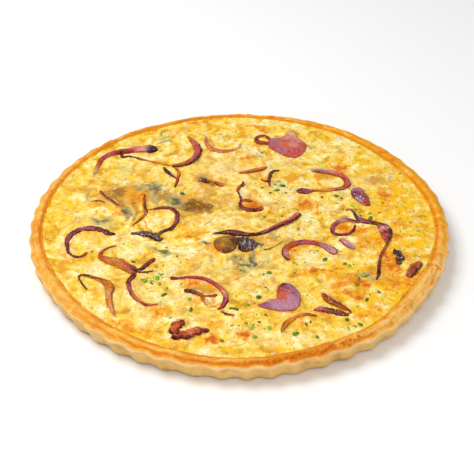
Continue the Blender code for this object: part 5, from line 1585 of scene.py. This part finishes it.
def make_stage(settings):
    """A pale floor, soft studio light and the camera at the photograph's angle."""
    mesh = bpy.data.meshes.new("studio_floor")
    sides = ((-1, -1), (1, -1), (1, 1), (-1, 1))
    mesh.from_pydata([(FLOOR_REACH * x, FLOOR_REACH * y, 0) for x, y in sides], [], [(0, 1, 2, 3)])
    floor = new_object("studio_floor", mesh)
    paper, tree, shader, _ = bare_material("Studio Floor")
    feed(tree, shader, {
        "Base Color": tuple(settings.floor), "Roughness": 0.9, "Specular IOR Level": 0.1,
    })
    mesh.materials.append(paper)

    world = bpy.data.worlds.new("studio")
    world.use_nodes = True
    sky = world.node_tree.nodes["Background"]
    feed(world.node_tree, sky, {"Color": (1.0, 1.0, 1.0), "Strength": settings.fill})
    bpy.context.scene.world = world
    for name, place_at, size, power in (
        ("key_softbox", (-0.50, 0.10, 0.95), 0.6, settings.key),
        ("front_softbox", (0.35, -0.90, 0.60), 0.7, settings.key * FRONT_LIGHT_SHARE),
    ):
        lamp = bpy.data.lights.new(name, "AREA")
        lamp.size = size
        lamp.energy = power
        holder = new_object(name, lamp)
        holder.location = place_at
        holder.rotation_euler = (-Vector(place_at)).to_track_quat("-Z", "Y").to_euler()

    camera = bpy.data.cameras.new("photo_camera")
    camera.sensor_width = 36.0
    camera.lens = settings.lens
    camera.clip_end = 20.0
    holder = new_object("photo_camera", camera)
    aim = Vector((-0.0012, 0.0, 0.0))
    away = Vector((0, -math.cos(settings.elevation), math.sin(settings.elevation)))
    holder.location = aim + away * settings.distance
    holder.rotation_euler = (-away).to_track_quat("-Z", "Y").to_euler()
    bpy.context.scene.camera = holder
    bpy.context.scene.view_settings.view_transform = "Standard"


# Settings

def colour_setting(name, description, default):
    """A colour that a user may change."""
    return bpy.props.FloatVectorProperty(
        name=name, description=description, subtype="COLOR", size=3, default=default)


class QuicheCaseSettings(bpy.types.PropertyGroup):
    columns_per_flute: bpy.props.IntProperty(
        name="Columns per Flute", description="How finely each flute is modelled", default=18, min=6)
    droop: bpy.props.FloatProperty(
        name="Droop", description="How far the rim's edge hangs at the front", default=0.0015,
        subtype="DISTANCE", unit="LENGTH")
    wall: colour_setting("Wall", "Colour of the baked outer wall", linear((230, 186, 108)))
    rim: colour_setting("Rim", "Colour of the golden rim", linear((243, 163, 12)))
    # The crease colour: browning deepened by painted shade.
    crease_browning_and_shade: colour_setting("Crease", "Colour of the browned crease in the rim", linear((230, 132, 4)))


class QuicheCustardSettings(bpy.types.PropertyGroup):
    cells: bpy.props.IntProperty(
        name="Cells", description="Cells across the custard's skin", default=300, min=40)
    rise: bpy.props.FloatProperty(
        name="Rise", description="How far the custard climbs the onion", default=0.0009,
        subtype="DISTANCE", unit="LENGTH")
    cream: colour_setting("Cream", "Colour of the palest custard", linear((255, 244, 190)))
    golden: colour_setting("Golden", "Colour of the yellow areas", linear((253, 194, 10)))


class QuicheOnionSettings(bpy.types.PropertyGroup):
    moisture: bpy.props.FloatProperty(
        name="Moisture", description="Weight of the moist coat on the onion", default=0.20,
        min=0.0, max=1.0, subtype="FACTOR")


class QuicheHerbSettings(bpy.types.PropertyGroup):
    seed: bpy.props.IntProperty(name="Seed", description="Order of the herb flakes", default=11)


class QuicheStageSettings(bpy.types.PropertyGroup):
    floor: colour_setting("Floor", "Colour of the floor", (0.97, 0.97, 0.97))
    fill: bpy.props.FloatProperty(
        name="Fill", description="Strength of the even light", default=0.46, min=0.0)
    key: bpy.props.FloatProperty(
        name="Key", description="Power of the main softbox", default=7.45, unit="POWER")
    lens: bpy.props.FloatProperty(
        name="Lens", description="Focal length of the camera in millimetres", default=78.0)
    distance: bpy.props.FloatProperty(
        name="Distance", description="Distance of the camera from the middle of the foot",
        default=0.650, subtype="DISTANCE", unit="LENGTH")
    elevation: bpy.props.FloatProperty(
        name="Elevation", description="How far the camera looks down", default=math.radians(37.7),
        subtype="ANGLE", unit="ROTATION")


# Operators

class QUICHE_OT_case(bpy.types.Operator):
    """Model the fluted pastry case"""

    bl_idname = "quiche.case"
    bl_label = "Pastry Case"

    def execute(self, context):
        make_case(context.scene.quiche_case)
        return {"FINISHED"}


class QUICHE_OT_custard(bpy.types.Operator):
    """Model the baked custard"""

    bl_idname = "quiche.custard"
    bl_label = "Custard"

    def execute(self, context):
        make_custard(context.scene.quiche_custard)
        return {"FINISHED"}


class QUICHE_OT_strips(bpy.types.Operator):
    """Model the strips of caramelised onion"""

    bl_idname = "quiche.strips"
    bl_label = "Onion Strips"

    def execute(self, context):
        make_strips(context.scene.quiche_onion)
        return {"FINISHED"}


class QUICHE_OT_petals(bpy.types.Operator):
    """Model the petals of caramelised onion"""

    bl_idname = "quiche.petals"
    bl_label = "Onion Petals"

    def execute(self, context):
        make_petals(context.scene.quiche_onion)
        return {"FINISHED"}


class QUICHE_OT_herbs(bpy.types.Operator):
    """Scatter the chopped herbs"""

    bl_idname = "quiche.herbs"
    bl_label = "Herbs"

    def execute(self, context):
        make_herbs(context.scene.quiche_herbs)
        return {"FINISHED"}


class QUICHE_OT_stage(bpy.types.Operator):
    """Set up the floor, the light and the camera"""

    bl_idname = "quiche.stage"
    bl_label = "Studio Stage"

    def execute(self, context):
        make_stage(context.scene.quiche_stage)
        return {"FINISHED"}


class QUICHE_PT_panel(bpy.types.Panel):
    """Lists the quiche's parts in the sidebar"""

    bl_label = "Quiche"
    bl_idname = "QUICHE_PT_panel"
    bl_space_type = "VIEW_3D"
    bl_region_type = "UI"
    bl_category = "Quiche"

    def draw(self, context):
        for operator, group in STEPS:
            box = self.layout.box()
            settings = getattr(context.scene, group)
            for name in settings.__annotations__:
                box.prop(settings, name)
            box.operator(operator.bl_idname)


STEPS = (
    (QUICHE_OT_stage, "quiche_stage"),
    (QUICHE_OT_case, "quiche_case"),
    (QUICHE_OT_custard, "quiche_custard"),
    (QUICHE_OT_strips, "quiche_onion"),
    (QUICHE_OT_petals, "quiche_onion"),
    (QUICHE_OT_herbs, "quiche_herbs"),
)
GROUPS = {
    "quiche_case": QuicheCaseSettings,
    "quiche_custard": QuicheCustardSettings,
    "quiche_onion": QuicheOnionSettings,
    "quiche_herbs": QuicheHerbSettings,
    "quiche_stage": QuicheStageSettings,
}
CLASSES = (*GROUPS.values(), *(operator for operator, _ in STEPS), QUICHE_PT_panel)


def register():
    """Adds the settings, the operators and the panel."""
    for cls in CLASSES:
        bpy.utils.register_class(cls)
    for name, group in GROUPS.items():
        setattr(bpy.types.Scene, name, bpy.props.PointerProperty(type=group))


def unregister():
    """Takes them away again."""
    for name in GROUPS:
        delattr(bpy.types.Scene, name)
    for cls in reversed(CLASSES):
        bpy.utils.unregister_class(cls)


def main():
    """Makes every piece in order."""
    register()
    for operator, _ in STEPS:
        area, name = operator.bl_idname.split(".")
        getattr(getattr(bpy.ops, area), name)()


if __name__ == "__main__":
    main()
